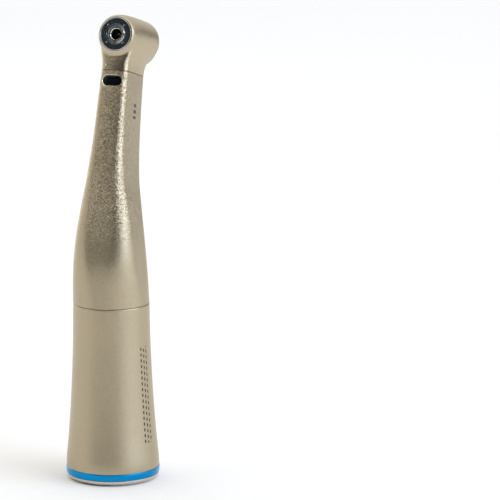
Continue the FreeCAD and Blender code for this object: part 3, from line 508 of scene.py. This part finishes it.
def blasted_grain_group():
    """Bead-blasted metal: small facets that each lean their own way, and uneven gloss."""
    group, start, end = new_group(
        "blasted_grain",
        [("Position", VECTOR, None), ("Grain", FLOAT, 0.16), ("Depth", FLOAT, 0.3),
         ("Roughness", FLOAT, 0.4), ("Spread", FLOAT, 0.1), ("Colour", COLOUR, None),
         ("Fleck", FLOAT, 0.15), ("Lean", FLOAT, 0.0)],
        SKIN_OUTPUTS)
    calc, vector = partial(math_node, group), partial(vector_node, group)
    scale = calc("DIVIDE", 1000.0, start["Grain"])
    cells = node(group, "ShaderNodeTexVoronoi",
                 {"Vector": start["Position"], "Scale": scale, "Randomness": 1.0})
    soft = node(group, "ShaderNodeTexNoise",
                {"Vector": start["Position"], "Scale": calc("MULTIPLY", scale, 0.8),
                 "Detail": 3.0, "Roughness": 0.6})
    cloud = node(group, "ShaderNodeTexNoise",
                 {"Vector": start["Position"], "Scale": 90.0, "Detail": 2.0})
    fleck = node(group, "ShaderNodeSeparateColor", {"Color": cells.outputs["Color"]})
    swing = calc("SUBTRACT", fleck.outputs[0], 0.5)
    tone = calc("MULTIPLY_ADD", swing, start["Fleck"], 1.0)
    mixed = calc("MULTIPLY_ADD", swing, 0.6, calc("SUBTRACT", cloud.outputs[0], 0.5))
    height = calc("MULTIPLY_ADD", fleck.outputs[1], 0.5, soft.outputs[0])
    bump = node(group, "ShaderNodeBump",
                {"Height": height, "Strength": start["Depth"], "Distance": 0.00004})
    centred = vector("SUBTRACT", cells.outputs["Color"], (0.5, 0.5, 0.5))
    leaning = vector("ADD", bump.outputs[0], vector("SCALE", centred, Scale=start["Lean"]))
    return deliver(group, end, Colour=vector("SCALE", start["Colour"], Scale=tone),
                   Roughness=calc("MULTIPLY_ADD", mixed, start["Spread"], start["Roughness"]),
                   Normal=vector("NORMALIZE", leaning))


def turning_marks_group():
    """Fine rings left by a lathe round an axis, with slight differences from ring to ring.

    Position is given with the axis along Z; rings follow both radius and height.
    """
    group, start, end = new_group(
        "turning_marks",
        [("Position", VECTOR, None), ("Spacing", FLOAT, 0.12), ("Depth", FLOAT, 0.2),
         ("Roughness", FLOAT, 0.22), ("Spread", FLOAT, 0.12), ("Colour", COLOUR, None)],
        SKIN_OUTPUTS)
    calc = partial(math_node, group)
    axes = node(group, "ShaderNodeSeparateXYZ", {0: start["Position"]}).outputs
    radius = calc("SQRT", calc("ADD", *(calc("MULTIPLY", axis, axis) for axis in axes[:2])))
    run = calc("MULTIPLY", calc("ADD", radius, axes[2]), 1000.0)
    lines = node(group, "ShaderNodeTexNoise",
                 {"W": calc("DIVIDE", run, start["Spacing"]), "Scale": 1.0, "Detail": 2.0},
                 noise_dimensions="1D")
    swing = calc("SUBTRACT", lines.outputs[0], 0.5)
    tone = calc("MULTIPLY_ADD", swing, 0.12, 1.0)
    bump = node(group, "ShaderNodeBump", {"Height": lines.outputs[0],
                                          "Strength": start["Depth"], "Distance": 0.00002})
    return deliver(group, end, Normal=bump.outputs[0],
                   Colour=vector_node(group, "SCALE", start["Colour"], Scale=tone),
                   Roughness=calc("MULTIPLY_ADD", swing, start["Spread"], start["Roughness"]))


def etched_ticks_group():
    """A mask of short etched dashes in columns on the right side of the handle.

    The angle round the handle picks the columns and the height picks the dashes; each
    column is moved a little along the handle against the one before.
    """
    group, start, end = new_group(
        "etched_ticks",
        [("Position", VECTOR, None), ("First Angle", FLOAT, 66.0), ("Column Step", FLOAT, 6.5),
         ("Columns", FLOAT, 3.0), ("Width", FLOAT, 0.42), ("Pitch", FLOAT, 1.25),
         ("Low", FLOAT, 9.0), ("High", FLOAT, 30.0)],
        [("Mask", FLOAT)])
    calc = partial(math_node, group)
    axes = node(group, "ShaderNodeSeparateXYZ", {0: start["Position"]}).outputs
    forward = calc("MULTIPLY", axes[1], -1.0)
    angle = calc("DEGREES", calc("ARCTAN2", axes[0], forward))
    place = calc("DIVIDE", calc("SUBTRACT", angle, start["First Angle"]), start["Column Step"])
    height = calc("MULTIPLY", axes[2], 1000.0)
    shifted = calc("MULTIPLY_ADD", calc("FLOOR", place), 0.37, height)
    dash = calc("FRACT", calc("DIVIDE", shifted, start["Pitch"]))
    mask = calc("LESS_THAN", calc("FRACT", place), start["Width"])
    for part in (calc("GREATER_THAN", place, 0.0), calc("LESS_THAN", place, start["Columns"]),
                 calc("LESS_THAN", dash, 0.55), calc("GREATER_THAN", height, start["Low"]),
                 calc("LESS_THAN", height, start["High"])):
        mask = calc("MULTIPLY", mask, part)
    return deliver(group, end, Mask=mask)


def placed(tree, build, **inputs):
    """A node of the group that `build` makes, built the first time, with its inputs set."""
    name = build.__name__.removesuffix("_group")
    group = bpy.data.node_groups.get(name) or build()
    links = {label.replace("_", " "): value for label, value in inputs.items()}
    return node(tree, "ShaderNodeGroup", links, node_tree=group)


def object_position(tree, axis=None, base=None):
    """Object coordinates, turned so that `axis` through `base` becomes Z."""
    where = node(tree, "ShaderNodeTexCoord").outputs["Object"]
    if axis is None:
        return where
    lean = math.atan2(axis[1], axis[2])
    cosine, sine = math.cos(lean), math.sin(lean)
    y, z = base[1] * MM, base[2] * MM
    move = (0.0, -(cosine * y - sine * z), -(sine * y + cosine * z))
    return node(tree, "ShaderNodeMapping",
                {"Vector": where, "Rotation": (lean, 0.0, 0.0), "Location": move},
                vector_type="POINT").outputs[0]


def covered(name, build, where=(None, None), shader_values=None, **inputs):
    """A Principled material whose colour, roughness and normal come from a group.

    Returns the material, its tree, the shader and the group's node.
    """
    material = bpy.data.materials.new(name)
    material.use_nodes = True
    tree = material.node_tree
    shader = tree.nodes["Principled BSDF"]
    for label, value in (shader_values or {}).items():
        shader.inputs[label.replace("_", " ")].default_value = value
    skin = placed(tree, build, Position=object_position(tree, *where), **inputs)
    for source, target in (("Colour", "Base Color"), ("Roughness", "Roughness"),
                           ("Normal", "Normal")):
        tree.links.new(skin.outputs[source], shader.inputs[target])
    return material, tree, shader, skin


def satin_metal(name, finish, gloss=0.0, bright=1.0, fine=0.8, depth=0.2, lean=0.2):
    """Warm bead-blasted metal; returns what `covered` returns.

    `gloss` is taken off the set roughness, and `bright` and `fine` scale the set colour
    and grain.
    """
    return covered(name, blasted_grain_group, shader_values={"Metallic": 1.0},
                   Colour=[*(value * bright for value in finish.metal[:3]), 1],
                   Roughness=finish.metal_roughness - gloss, Grain=finish.grain / MM * fine,
                   Depth=depth, Fleck=0.1, Lean=lean)


def fade_lean(tree, skin, low, high, least):
    """Calm the facets of a blasted skin: `least` lean below height `low`, all above `high`."""
    where = node(tree, "ShaderNodeSeparateXYZ", {0: object_position(tree)})
    full = skin.inputs["Lean"].default_value
    ramp = node(tree, "ShaderNodeMapRange", {0: where.outputs[2], 1: low * MM, 2: high * MM,
                                             3: least, 4: full},
                interpolation_type="SMOOTHSTEP")
    tree.links.new(ramp.outputs[0], skin.inputs["Lean"])


STAIN, STAIN_SHARE = (0.05, 0.045, 0.04, 1), 0.94


def etch(tree, shader, skin, where=(None, None), **ticks):
    """Darken the etched dashes on a blasted skin."""
    mask = placed(tree, etched_ticks_group, Position=object_position(tree, *where), **ticks)
    share = math_node(tree, "MULTIPLY", mask.outputs["Mask"], STAIN_SHARE)
    stain = node(tree, "ShaderNodeMix",
                 {"Factor": share, "A": skin.outputs["Colour"], "B": STAIN}, data_type="RGBA")
    tree.links.new(stain.outputs["Result"], shader.inputs["Base Color"])


def turned_metal(name, colour, roughness=0.22, spacing=0.12, depth=0.2, axis=None, base=None):
    """Lathe-turned metal round one of the three axes."""
    return covered(name, turning_marks_group, (axis, base), {"Metallic": 1.0}, Colour=colour,
                   Roughness=roughness, Spacing=spacing, Depth=depth)[0]


def grained(name, colour, roughness, metallic, grain, depth, fleck, **values):
    """Any plain material with a fine grain: rubber, resin, wire, glass, paper."""
    return covered(name, blasted_grain_group, shader_values={"Metallic": metallic, **values},
                   Colour=colour, Roughness=roughness, Grain=grain, Depth=depth,
                   Fleck=fleck)[0]


def clear_glass(name, colour):
    """Polished glass; the tint sits in the base colour."""
    glass = {"Transmission_Weight": 0.85, "IOR": 1.52}
    return covered(name, blasted_grain_group, shader_values=glass, Colour=colour,
                   Roughness=0.05, Grain=0.4, Depth=0.02, Spread=0.02, Fleck=0.04)[0]


def frame_of(name):
    """The axis a CAD piece is turned about: handle, neck or head."""
    low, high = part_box(name)
    middle = (low[2] + high[2]) / 2 / MM
    if middle > HEAD[2] - 4.5 and "pinion" not in name and "neck" not in name:
        return "head"
    return "neck" if middle > BEND[2] else "handle"


# ------------------------------------------------------------------ stage

# Patches of the room: azimuth from, to and softness in degrees, measured from the front
# towards the right; then the upward part of the direction, from, to and softness.
FRONT_SHADE = (-35.0, 48.0, 8.0), (-0.2, 0.72, 0.14)
BACK_SHADE = (128.0, 178.0, 10.0), (-0.2, 0.2, 0.14)
SIDE_PANEL = (56.0, 112.0, 8.0), (0.06, 0.6, 0.08)
CEILING = 0.5, 0.95       # upward part where the ceiling's light begins and is full
ROOM_TINT, PANEL_TINT = (1.0, 0.985, 0.95, 1), (0.80, 0.99, 1.34, 1)
LAMPS = (                 # name, place and width in metres, power in watts
    ("right_box", (0.55, -0.02, 0.3), 0.4, 0.6),
    ("left_box", (-0.6, 0.35, 0.2), 0.4, 0.5),
)
LAMP_TARGET = np.array([0.0, 0.0, 0.07])
CAMERA_TARGET = np.array([0.0, 0.0, 0.055])


def pose_of(side, up, back, place):
    """A matrix with these three axes at `place`."""
    return Matrix([[side[i], up[i], back[i], place[i]] for i in range(3)] + [[0, 0, 0, 1]])


def look_at(place, target):
    """A matrix at `place` whose -Z points at `target`."""
    back = (place - target) / np.linalg.norm(place - target)
    side = np.cross([0.0, 0.0, 1.0], back)
    side = side / np.linalg.norm(side)
    return pose_of(side, np.cross(back, side), back, place)


# ------------------------------------------------------------------ settings

def colour_setting(name, description, default):
    """A linear colour property."""
    return bpy.props.FloatVectorProperty(name=name, description=description, subtype="COLOR",
                                         size=4, min=0, max=1, default=default)


def length_setting(name, description, default):
    """A length property in metres."""
    return bpy.props.FloatProperty(name=name, description=description, default=default,
                                   unit="LENGTH", subtype="DISTANCE", precision=5)


def number_setting(name, description, default, high=1.0, low=0.0):
    """A plain number property."""
    return bpy.props.FloatProperty(name=name, description=description, default=default,
                                   min=low, max=high, precision=4)


def angle_setting(name, description, degrees):
    """An angle property, given here in degrees."""
    return bpy.props.FloatProperty(name=name, description=description,
                                   default=math.radians(degrees), subtype="ANGLE")


class HandpieceFinish(bpy.types.PropertyGroup):
    """Colours and grain of the handpiece."""

    metal: colour_setting("Metal", "Colour of the blasted metal", (0.44, 0.37, 0.255, 1))
    metal_roughness: number_setting("Metal roughness", "Roughness of the blasted metal", 0.36)
    grain: length_setting("Grain", "Width of one blasted facet", 0.0002)
    ring: colour_setting("Colour ring", "Colour of the ratio ring", (0.005, 0.26, 0.58, 1))
    cap: colour_setting("Face", "Colour of the dark cap in the head face",
                        (0.27, 0.33, 0.37, 1))
    steel: colour_setting("Steel", "Colour of turned steel pieces", (0.74, 0.73, 0.71, 1))


class HandpieceSizes(bpy.types.PropertyGroup):
    """Sizes of the fine detail; the main sizes come from the CAD frame."""

    wall: length_setting("Shell wall", "Wall of the body shell", 0.00055)
    lip: length_setting("Edge chamfer", "Chamfer at both ends of the shell", 0.00018)
    window_half: length_setting("Window half length", "Half the length of the light window",
                                0.0022)
    window_radius: length_setting("Window end radius", "Radius of its round ends", 0.0011)
    window_up: length_setting("Window height", "Bend point to the light window", 0.0283)


class HandpieceStage(bpy.types.PropertyGroup):
    """Camera, lights and floor."""

    azimuth: angle_setting("Azimuth", "Camera angle round the handle", 23.56)
    elevation: angle_setting("Elevation", "Camera angle above level", 10.21)
    roll: angle_setting("Roll", "Camera roll", -0.6)
    distance: length_setting("Distance", "Camera to the middle of the handpiece", 0.6556)
    lens: number_setting("Lens", "Focal length in millimetres", 221.2, 400.0, 20.0)
    shift_across: number_setting("Shift across", "Sideways shift of the lens", 0.279, 1.0, -1.0)
    shift_up: number_setting("Shift up", "Upward shift of the lens", -0.0494, 1.0, -1.0)
    floor: colour_setting("Floor", "Colour of the floor", (0.93, 0.93, 0.93, 1))
    room: number_setting("Room", "Light of the white room", 0.88, 5.0)
    panel: number_setting("Panel", "Extra light of the side panel", 1.6, 10.0)
    ceiling: number_setting("Ceiling", "Extra light from above", 0.45, 10.0)
    dark: number_setting("Dark front", "How dark the front is", 1.0)
    far_shade: number_setting("Far shade", "Shade at the back right", 0.8)


# ------------------------------------------------------------------ operators

class HANDPIECE_OT_body_shell(bpy.types.Operator):
    """Build the bent body shell with its light window opening"""

    bl_idname = "handpiece.body_shell"
    bl_label = "Body shell"

    def execute(self, context):
        finish, sizes = context.scene.handpiece_finish, context.scene.handpiece_sizes
        metal, tree, shader, skin = satin_metal("satin_body", finish, fine=1.0, depth=0.5,
                                                lean=0.42)
        fade_lean(tree, skin, 49.0, 62.0, 0.08)
        etch(tree, shader, skin, (NECK, BEND), First_Angle=76.0, Column_Step=24.0,
             Columns=1.0, Width=0.9, Pitch=1.3, Low=20.9, High=24.3)
        shell = shell_surface("body_shell_skin", sizes.wall / MM, sizes.lip / MM)
        shell.data.materials.append(metal)
        bright = turned_metal("bright_edge", (0.62, 0.57, 0.46, 1), 0.28, 0.2, 0.1)
        half, radius = sizes.window_half / MM, sizes.window_radius / MM
        rim, flare = WINDOW_RIM, 0.7
        steps = [(half, radius, rim - 0.9), (half, radius, rim),
                 (half + flare, radius + flare, rim + flare),
                 (half + flare, radius + flare, rim + 2 * flare)]
        middle = BEND + sizes.window_up / MM * NECK
        cutter = slot_stack("window_cutter", [stadium(h, r) for h, r, _ in steps],
                            [height for _, _, height in steps], middle)
        cutter.data.materials.append(bright)
        cut_from(shell, cutter)
        fit_out(shell, "satin_shell", None, "body_shell")
        return {"FINISHED"}


class HANDPIECE_OT_rear_sleeve(bpy.types.Operator):
    """Turn the flared rear sleeve"""

    bl_idname = "handpiece.rear_sleeve"
    bl_label = "Rear sleeve"

    def execute(self, context):
        finish = context.scene.handpiece_finish
        height = np.linspace(3.0, 37.9, 60)
        knots = [2.63, 3.9, 6.6, 10.1, 17.2, 24.2, 31.3, 38.2]
        radius = gentle(knots, [10.02, 9.99, 9.76, 9.43, 8.92, 8.56, 8.3, 8.2], height)
        skin = np.stack([radius, height], axis=-1)
        corners = rounded([(8.87, 9.2), (8.87, 2.66), (9.98, 2.66)], [0, 0.02, 0.1], False)
        top = np.array([(8.2, 38.0), (8.19, 38.08), (8.13, 38.15), (8.05, 38.17), (7.62, 38.17),
                        (7.62, 10.0), (8.2, 9.65)])
        outline = np.vstack([corners, skin, top])
        metal, tree, shader, skin = satin_metal("satin_sleeve", finish, lean=0.08)
        etch(tree, shader, skin, First_Angle=70.0, Column_Step=6.2, Low=8.6, High=29.5)
        sleeve = turned_surface("rear_sleeve_skin", outline, ORIGIN, HANDLE, 256)
        fit_out(sleeve, "satin_shell", metal, "rear_sleeve")
        return {"FINISHED"}


class HANDPIECE_OT_rear_rings(bpy.types.Operator):
    """Turn the colour ring and the bright end ring"""

    bl_idname = "handpiece.rear_rings"
    bl_label = "Colour ring and end ring"

    def execute(self, context):
        finish = context.scene.handpiece_finish
        ring = rounded([(8.87, 1.19), (10.03, 1.19), (10.1, 1.7), (10.1, 2.2), (10.06, 2.62),
                        (8.87, 2.62)], [0.02, 0.1, 0.3, 0.3, 0.12, 0.02])
        anodised = turned_metal("ring_anodised", finish.ring, 0.2, 0.2, 0.1)
        fit_out(turned_surface("colour_ring_skin", ring, ORIGIN, HANDLE, 256),
                "blue_ring", anodised, "colour_ring")
        end = rounded([(8.17, 0.02), (8.75, 0.0), (9.5, 0.25), (9.92, 0.7), (10.0, 1.14),
                       (8.84, 1.14), (8.84, 5.58), (8.17, 5.58)],
                      [0.1, 0.1, 0.3, 0.25, 0.06, 0, 0.1, 0.1])
        chrome = turned_metal("polished_chrome", (0.66, 0.60, 0.51, 1), 0.12, 0.3, 0.05)
        fit_out(turned_surface("end_ring_skin", end, ORIGIN, HANDLE, 256),
                "chrome", chrome, "end_ring")
        return {"FINISHED"}


class HANDPIECE_OT_head(bpy.types.Operator):
    """Build the head: a barrel blended into the neck above the joint"""

    bl_idname = "handpiece.head"
    bl_label = "Head"

    def execute(self, context):
        finish = context.scene.handpiece_finish
        metal = satin_metal("satin_head", finish, gloss=0.04, bright=1.08)[0]
        head = new_piece("head_housing_skin", head_rings(), True)
        flat_cut(head, HEAD - (JOINT_DROP - 0.01) * NECK, -NECK)
        fit_out(head, "satin_shell", metal, "head_housing")
        radius, along = about_bur(head)
        rim = turned_metal("bright_rim", (0.8, 0.77, 0.71, 1), 0.16, 0.1, 0.1, BUR, HEAD)
        paint(head, rim, (radius < FACE_EDGE) & (along > 6.0))
        return {"FINISHED"}


class HANDPIECE_OT_face_cap(bpy.types.Operator):
    """Turn the dark cap in the head face, with its bright bevel and four spanner holes"""

    bl_idname = "handpiece.face_cap"
    bl_label = "Face cap"

    def execute(self, context):
        finish = context.scene.handpiece_finish
        outline = rounded([(2.12, 5.62), (2.12, 6.26), (BEVEL_EDGE, 6.26), (3.46, 6.37),
                           (3.52, 6.37), (3.61, 6.22), (3.61, 5.42), (2.9, 5.42), (2.9, 5.62)],
                          [0.02, 0.1, 0.02, 0.04, 0.04, 0.05, 0.02, 0.02, 0.02])
        cap = turned_surface("front_cap_skin", outline, HEAD, BUR)
        dark = turned_metal("face_coating", finish.cap, 0.2, 0.09, 0.3, BUR, HEAD)
        cap.data.materials.append(dark)
        bright = turned_metal("bright_bevel", (0.86, 0.85, 0.82, 1), 0.14, 0.1, 0.1, BUR, HEAD)
        for turn in np.radians([45, 135, 225, 315]):
            spot = HEAD + SPANNER_RING * (math.cos(turn) * ACROSS + math.sin(turn) * NECK)
            pin = turned_surface("spanner_pin", [(0, 5.75), (0.2, 5.75), (0.2, 6.2),
                                                 (0.34, 6.34), (0.34, 6.5), (0, 6.5)],
                                 spot, BUR, 32, closed=False)
            pin.data.materials.append(dark)
            cut_from(cap, pin)
        radius, along = about_bur(cap)
        paint(cap, bright, (radius > BEVEL_EDGE) & (along > 6.05))
        fit_out(cap, "dark_cap", None, "front_cap")
        return {"FINISHED"}


class HANDPIECE_OT_button(bpy.types.Operator):
    """Turn the rear cap and the push button of the head"""

    bl_idname = "handpiece.button"
    bl_label = "Rear cap and push button"

    def execute(self, context):
        finish = context.scene.handpiece_finish
        cap = rounded([(3.66, -6.98), (3.66, -7.5), (4.0, -7.5), (4.55, -7.12), (4.8, -6.6),
                       (4.8, -6.24), (4.13, -6.24), (4.13, -5.84), (3.88, -5.84),
                       (3.88, -6.98)],
                      [0.02, 0.08, 0.25, 0.25, 0.2, 0.06, 0.02, 0.05, 0.05, 0.02])
        metal = satin_metal("satin_cap", finish, gloss=0.05)[0]
        fit_out(turned_surface("rear_cap_skin", cap, HEAD, BUR), "satin_shell", metal,
                "rear_cap")
        dome = np.linspace(0, 1, 24)
        crown = np.stack([3.3 * dome, -8.3 + 0.42 * dome ** 2.2], axis=-1)
        dish = crown + np.stack([0 * dome, 0.12 * np.exp(-(dome * 3.3 / 1.5) ** 4)], axis=-1)
        skirt = rounded([(3.3, -7.88), (3.6, -7.5), (3.6, -6.97), (3.79, -6.97), (3.79, -6.76),
                         (3.31, -6.76), (3.31, -7.3), (0.8, -7.3), (0.8, -6.2), (0, -6.2)],
                        [0, 0.2, 0.02, 0.03, 0.05, 0.05, 0.1, 0.1, 0.08, 0], False)
        button = turned_surface("push_button_skin", np.vstack([dish, skirt]), HEAD, BUR,
                                160, closed=False)
        polished = turned_metal("button_steel", (0.72, 0.71, 0.69, 1), 0.2, 0.1, 0.25,
                                BUR, HEAD)
        fit_out(button, "chrome", polished, "push_button", body="push_button")
        return {"FINISHED"}


class HANDPIECE_OT_window(bpy.types.Operator):
    """Build the glass light window"""

    bl_idname = "handpiece.window"
    bl_label = "Light window"

    def execute(self, context):
        sizes = context.scene.handpiece_sizes
        middle = BEND + sizes.window_up / MM * NECK
        lens = domed_slot("light_window_lens", sizes.window_half / MM - 0.02,
                          sizes.window_radius / MM - 0.02, LENS_LOW, LENS_HIGH, middle)
        glass = grained("window_glass", (0.006, 0.007, 0.008, 1), 0.06, 0.0, 0.5, 0.02, 0.05,
                        Coat_Weight=1.0)
        fit_out(lens, "window_glass", glass, "light_window")
        return {"FINISHED"}


class HANDPIECE_OT_inner_finishes(bpy.types.Operator):
    """Give every CAD piece that stays as it is the finish of its material slot"""

    bl_idname = "handpiece.inner_finishes"
    bl_label = "Finishes of the mechanism"

    def execute(self, context):
        finish = context.scene.handpiece_finish
        frames = {"handle": (HANDLE, ORIGIN), "neck": (NECK, BEND), "head": (BUR, HEAD)}
        steel, resin = finish.steel, (0.30, 0.14, 0.045, 1)
        plain = {
            "satin_shell": satin_metal("satin_inner", finish, depth=0.35)[0],
            "gear_carrier_metal": turned_metal("carrier_aluminium", (0.7, 0.7, 0.71, 1), 0.3),
            "spring_wire": grained("spring_wire", (0.45, 0.45, 0.47, 1), 0.3, 1.0, 0.2, 0.1, 0.1),
            "seal_rubber": grained("seal_rubber", (0.02, 0.02, 0.02, 1), 0.7, 0.0, 0.2, 0.3, 0.2),
            "fibre_glass": clear_glass("fibre_glass", (0.85, 0.92, 0.95, 1)),
            "window_glass": clear_glass("inner_glass", (0.3, 0.33, 0.35, 1)),
            "bearing_ball": grained("bearing_ball", (0.75, 0.75, 0.75, 1), 0.08, 1.0, 0.6,
                                    0.02, 0.03),
            "cage_resin": grained("cage_resin", resin, 0.5, 0.0, 0.15, 0.3, 0.4),
            "blue_ring": grained("inner_enamel", finish.ring, 0.2, 0.3, 0.5, 0.04, 0.08),
        }
        turned = {
            "steel": (steel, 0.24, 0.1, 0.25), "chrome": (steel, 0.15, 0.2, 0.1),
            "hard_gear": ((0.5, 0.47, 0.42, 1), 0.3, 0.15, 0.25),
            "dark_cap": (finish.cap, 0.16, 0.09, 0.3),
            "tube_steel": (steel, 0.25, 0.3, 0.1),
            "bearing_ring": ((0.68, 0.68, 0.68, 1), 0.16, 0.08, 0.2),
        }
        made = {}
        for part in frame["record"]["subparts"]:
            name, slot = part["node"], part["material_slot"]
            family = frame_of(name)
            key = slot, family
            if slot in turned and key not in made:
                made[key] = turned_metal("%s_%s" % key, *turned[slot], *frames[family])
            material = made[key] if slot in turned else plain[slot]
            mesh = frame["nodes"][name].data
            mesh.materials.clear()
            mesh.materials.append(material)
        return {"FINISHED"}


class HANDPIECE_OT_stage(bpy.types.Operator):
    """Set the floor, the soft light and the camera"""

    bl_idname = "handpiece.stage"
    bl_label = "Stage"

    def execute(self, context):
        context.scene.view_settings.view_transform = "Standard"
        self.make_floor(context)
        self.make_world(context)
        self.make_lights()
        self.make_camera(context)
        return {"FINISHED"}

    def make_floor(self, context):
        """A flat round sheet just below the part, as rings of (radius, height)."""
        outline = [(radius, -0.02) for radius in (0.0, 30.0, 120.0, 500.0, 2000.0, 8000.0)]
        floor = turned_surface("floor", outline, ORIGIN, HANDLE, 96, closed=False)
        floor.data.materials.append(
            grained("floor_paper", context.scene.handpiece_stage.floor, 0.95, 0.0, 1.5, 0.1,
                    0.01, Specular_IOR_Level=0.1))

    def make_world(self, context):
        """A white room: dark in front, shaded behind, brighter at the right and above."""
        stage = context.scene.handpiece_stage
        world = bpy.data.worlds.new("studio")
        context.scene.world = world
        world.use_nodes = True
        tree = world.node_tree
        back = tree.nodes["Background"]
        way = node(tree, "ShaderNodeTexCoord").outputs["Generated"]
        axes = node(tree, "ShaderNodeSeparateXYZ", {0: way})
        calc = partial(math_node, tree)
        ahead = calc("MULTIPLY", axes.outputs[1], -1.0)
        azimuth = calc("DEGREES", calc("ARCTAN2", axes.outputs[0], ahead))

        def step(value, low, high):
            """A smooth step from 0 at `low` to 1 at `high`."""
            rise = node(tree, "ShaderNodeMapRange", {0: value, 1: low, 2: high, 3: 0.0, 4: 1.0},
                        interpolation_type="SMOOTHSTEP")
            return rise.outputs[0]

        def band(value, low, high, soft):
            """1 between `low` and `high`, with soft edges."""
            inside = step(value, low - soft, low + soft)
            return calc("SUBTRACT", inside, step(value, high - soft, high + soft))

        def patch(round_about, upward):
            """A soft-edged patch of the room."""
            return calc("MULTIPLY", band(azimuth, *round_about), band(axes.outputs[2], *upward))

        dark = calc("MULTIPLY_ADD", patch(*BACK_SHADE), stage.far_shade, patch(*FRONT_SHADE))
        panel = patch(*SIDE_PANEL)
        light = calc("MULTIPLY_ADD", panel, stage.panel, stage.room)
        light = calc("MULTIPLY_ADD", step(axes.outputs[2], *CEILING), stage.ceiling, light)
        light = calc("MULTIPLY", light, calc("MULTIPLY_ADD", dark, -stage.dark, 1.0))
        tint = node(tree, "ShaderNodeMix", {"Factor": panel, "A": ROOM_TINT, "B": PANEL_TINT},
                    data_type="RGBA", clamp_factor=True)
        tree.links.new(tint.outputs["Result"], back.inputs["Color"])
        tree.links.new(light, back.inputs["Strength"])

    def make_lights(self):
        """A soft box high on the right and one low on the left, aimed at the middle."""
        for name, place, size, power in LAMPS:
            lamp = bpy.data.lights.new(name, "AREA")
            lamp.shape, lamp.size, lamp.energy = "DISK", size, power
            light = bpy.data.objects.new(name, lamp)
            bpy.context.scene.collection.objects.link(light)
            light.matrix_world = look_at(np.array(place), LAMP_TARGET)

    def make_camera(self, context):
        """A long lens at the set azimuth and elevation, shifted so the part stands left."""
        stage = context.scene.handpiece_stage
        a, e = stage.azimuth, stage.elevation
        away = np.array([math.sin(a) * math.cos(e), -math.cos(a) * math.cos(e), math.sin(e)])
        right = np.array([math.cos(a), math.sin(a), 0.0])
        up = np.cross(away, right)
        turned_right = math.cos(stage.roll) * right + math.sin(stage.roll) * up
        turned_up = -math.sin(stage.roll) * right + math.cos(stage.roll) * up
        data = bpy.data.cameras.new("camera")
        data.sensor_width, data.lens = 36.0, stage.lens
        data.shift_x, data.shift_y = stage.shift_across, stage.shift_up
        data.clip_start, data.clip_end = 0.01, 30.0
        camera = bpy.data.objects.new("camera", data)
        context.scene.collection.objects.link(camera)
        camera.matrix_world = pose_of(turned_right, turned_up, away,
                                      CAMERA_TARGET + away * stage.distance)
        context.scene.camera = camera


STEPS = (
    HANDPIECE_OT_inner_finishes,
    HANDPIECE_OT_body_shell,
    HANDPIECE_OT_rear_sleeve,
    HANDPIECE_OT_rear_rings,
    HANDPIECE_OT_head,
    HANDPIECE_OT_face_cap,
    HANDPIECE_OT_button,
    HANDPIECE_OT_window,
    HANDPIECE_OT_stage,
)


class HANDPIECE_PT_panel(bpy.types.Panel):
    """Settings and steps of the handpiece"""

    bl_label = "Handpiece"
    bl_idname = "HANDPIECE_PT_panel"
    bl_space_type = "VIEW_3D"
    bl_region_type = "UI"
    bl_category = "Handpiece"

    def draw(self, context):
        layout = self.layout
        for group in SETTINGS:
            settings = getattr(context.scene, group)
            box = layout.box()
            for key in settings.bl_rna.properties.keys():
                if key not in ("name", "rna_type"):
                    box.prop(settings, key)
        for step in STEPS:
            layout.operator(step.bl_idname)


SETTINGS = {
    "handpiece_finish": HandpieceFinish,
    "handpiece_sizes": HandpieceSizes,
    "handpiece_stage": HandpieceStage,
}


def register():
    """Register the settings, the steps and the panel."""
    for kind in (*SETTINGS.values(), *STEPS, HANDPIECE_PT_panel):
        bpy.utils.register_class(kind)
    for name, kind in SETTINGS.items():
        setattr(bpy.types.Scene, name, bpy.props.PointerProperty(type=kind))


def unregister():
    """Remove what register added."""
    for name in SETTINGS:
        delattr(bpy.types.Scene, name)
    for kind in (HANDPIECE_PT_panel, *reversed(STEPS), *SETTINGS.values()):
        bpy.utils.unregister_class(kind)


def main():
    """Build everything in order."""
    register()
    bpy.ops.handpiece.inner_finishes()
    bpy.ops.handpiece.body_shell()
    bpy.ops.handpiece.rear_sleeve()
    bpy.ops.handpiece.rear_rings()
    bpy.ops.handpiece.head()
    bpy.ops.handpiece.face_cap()
    bpy.ops.handpiece.button()
    bpy.ops.handpiece.window()
    bpy.ops.handpiece.stage()


if __name__ == "__main__":
    main()
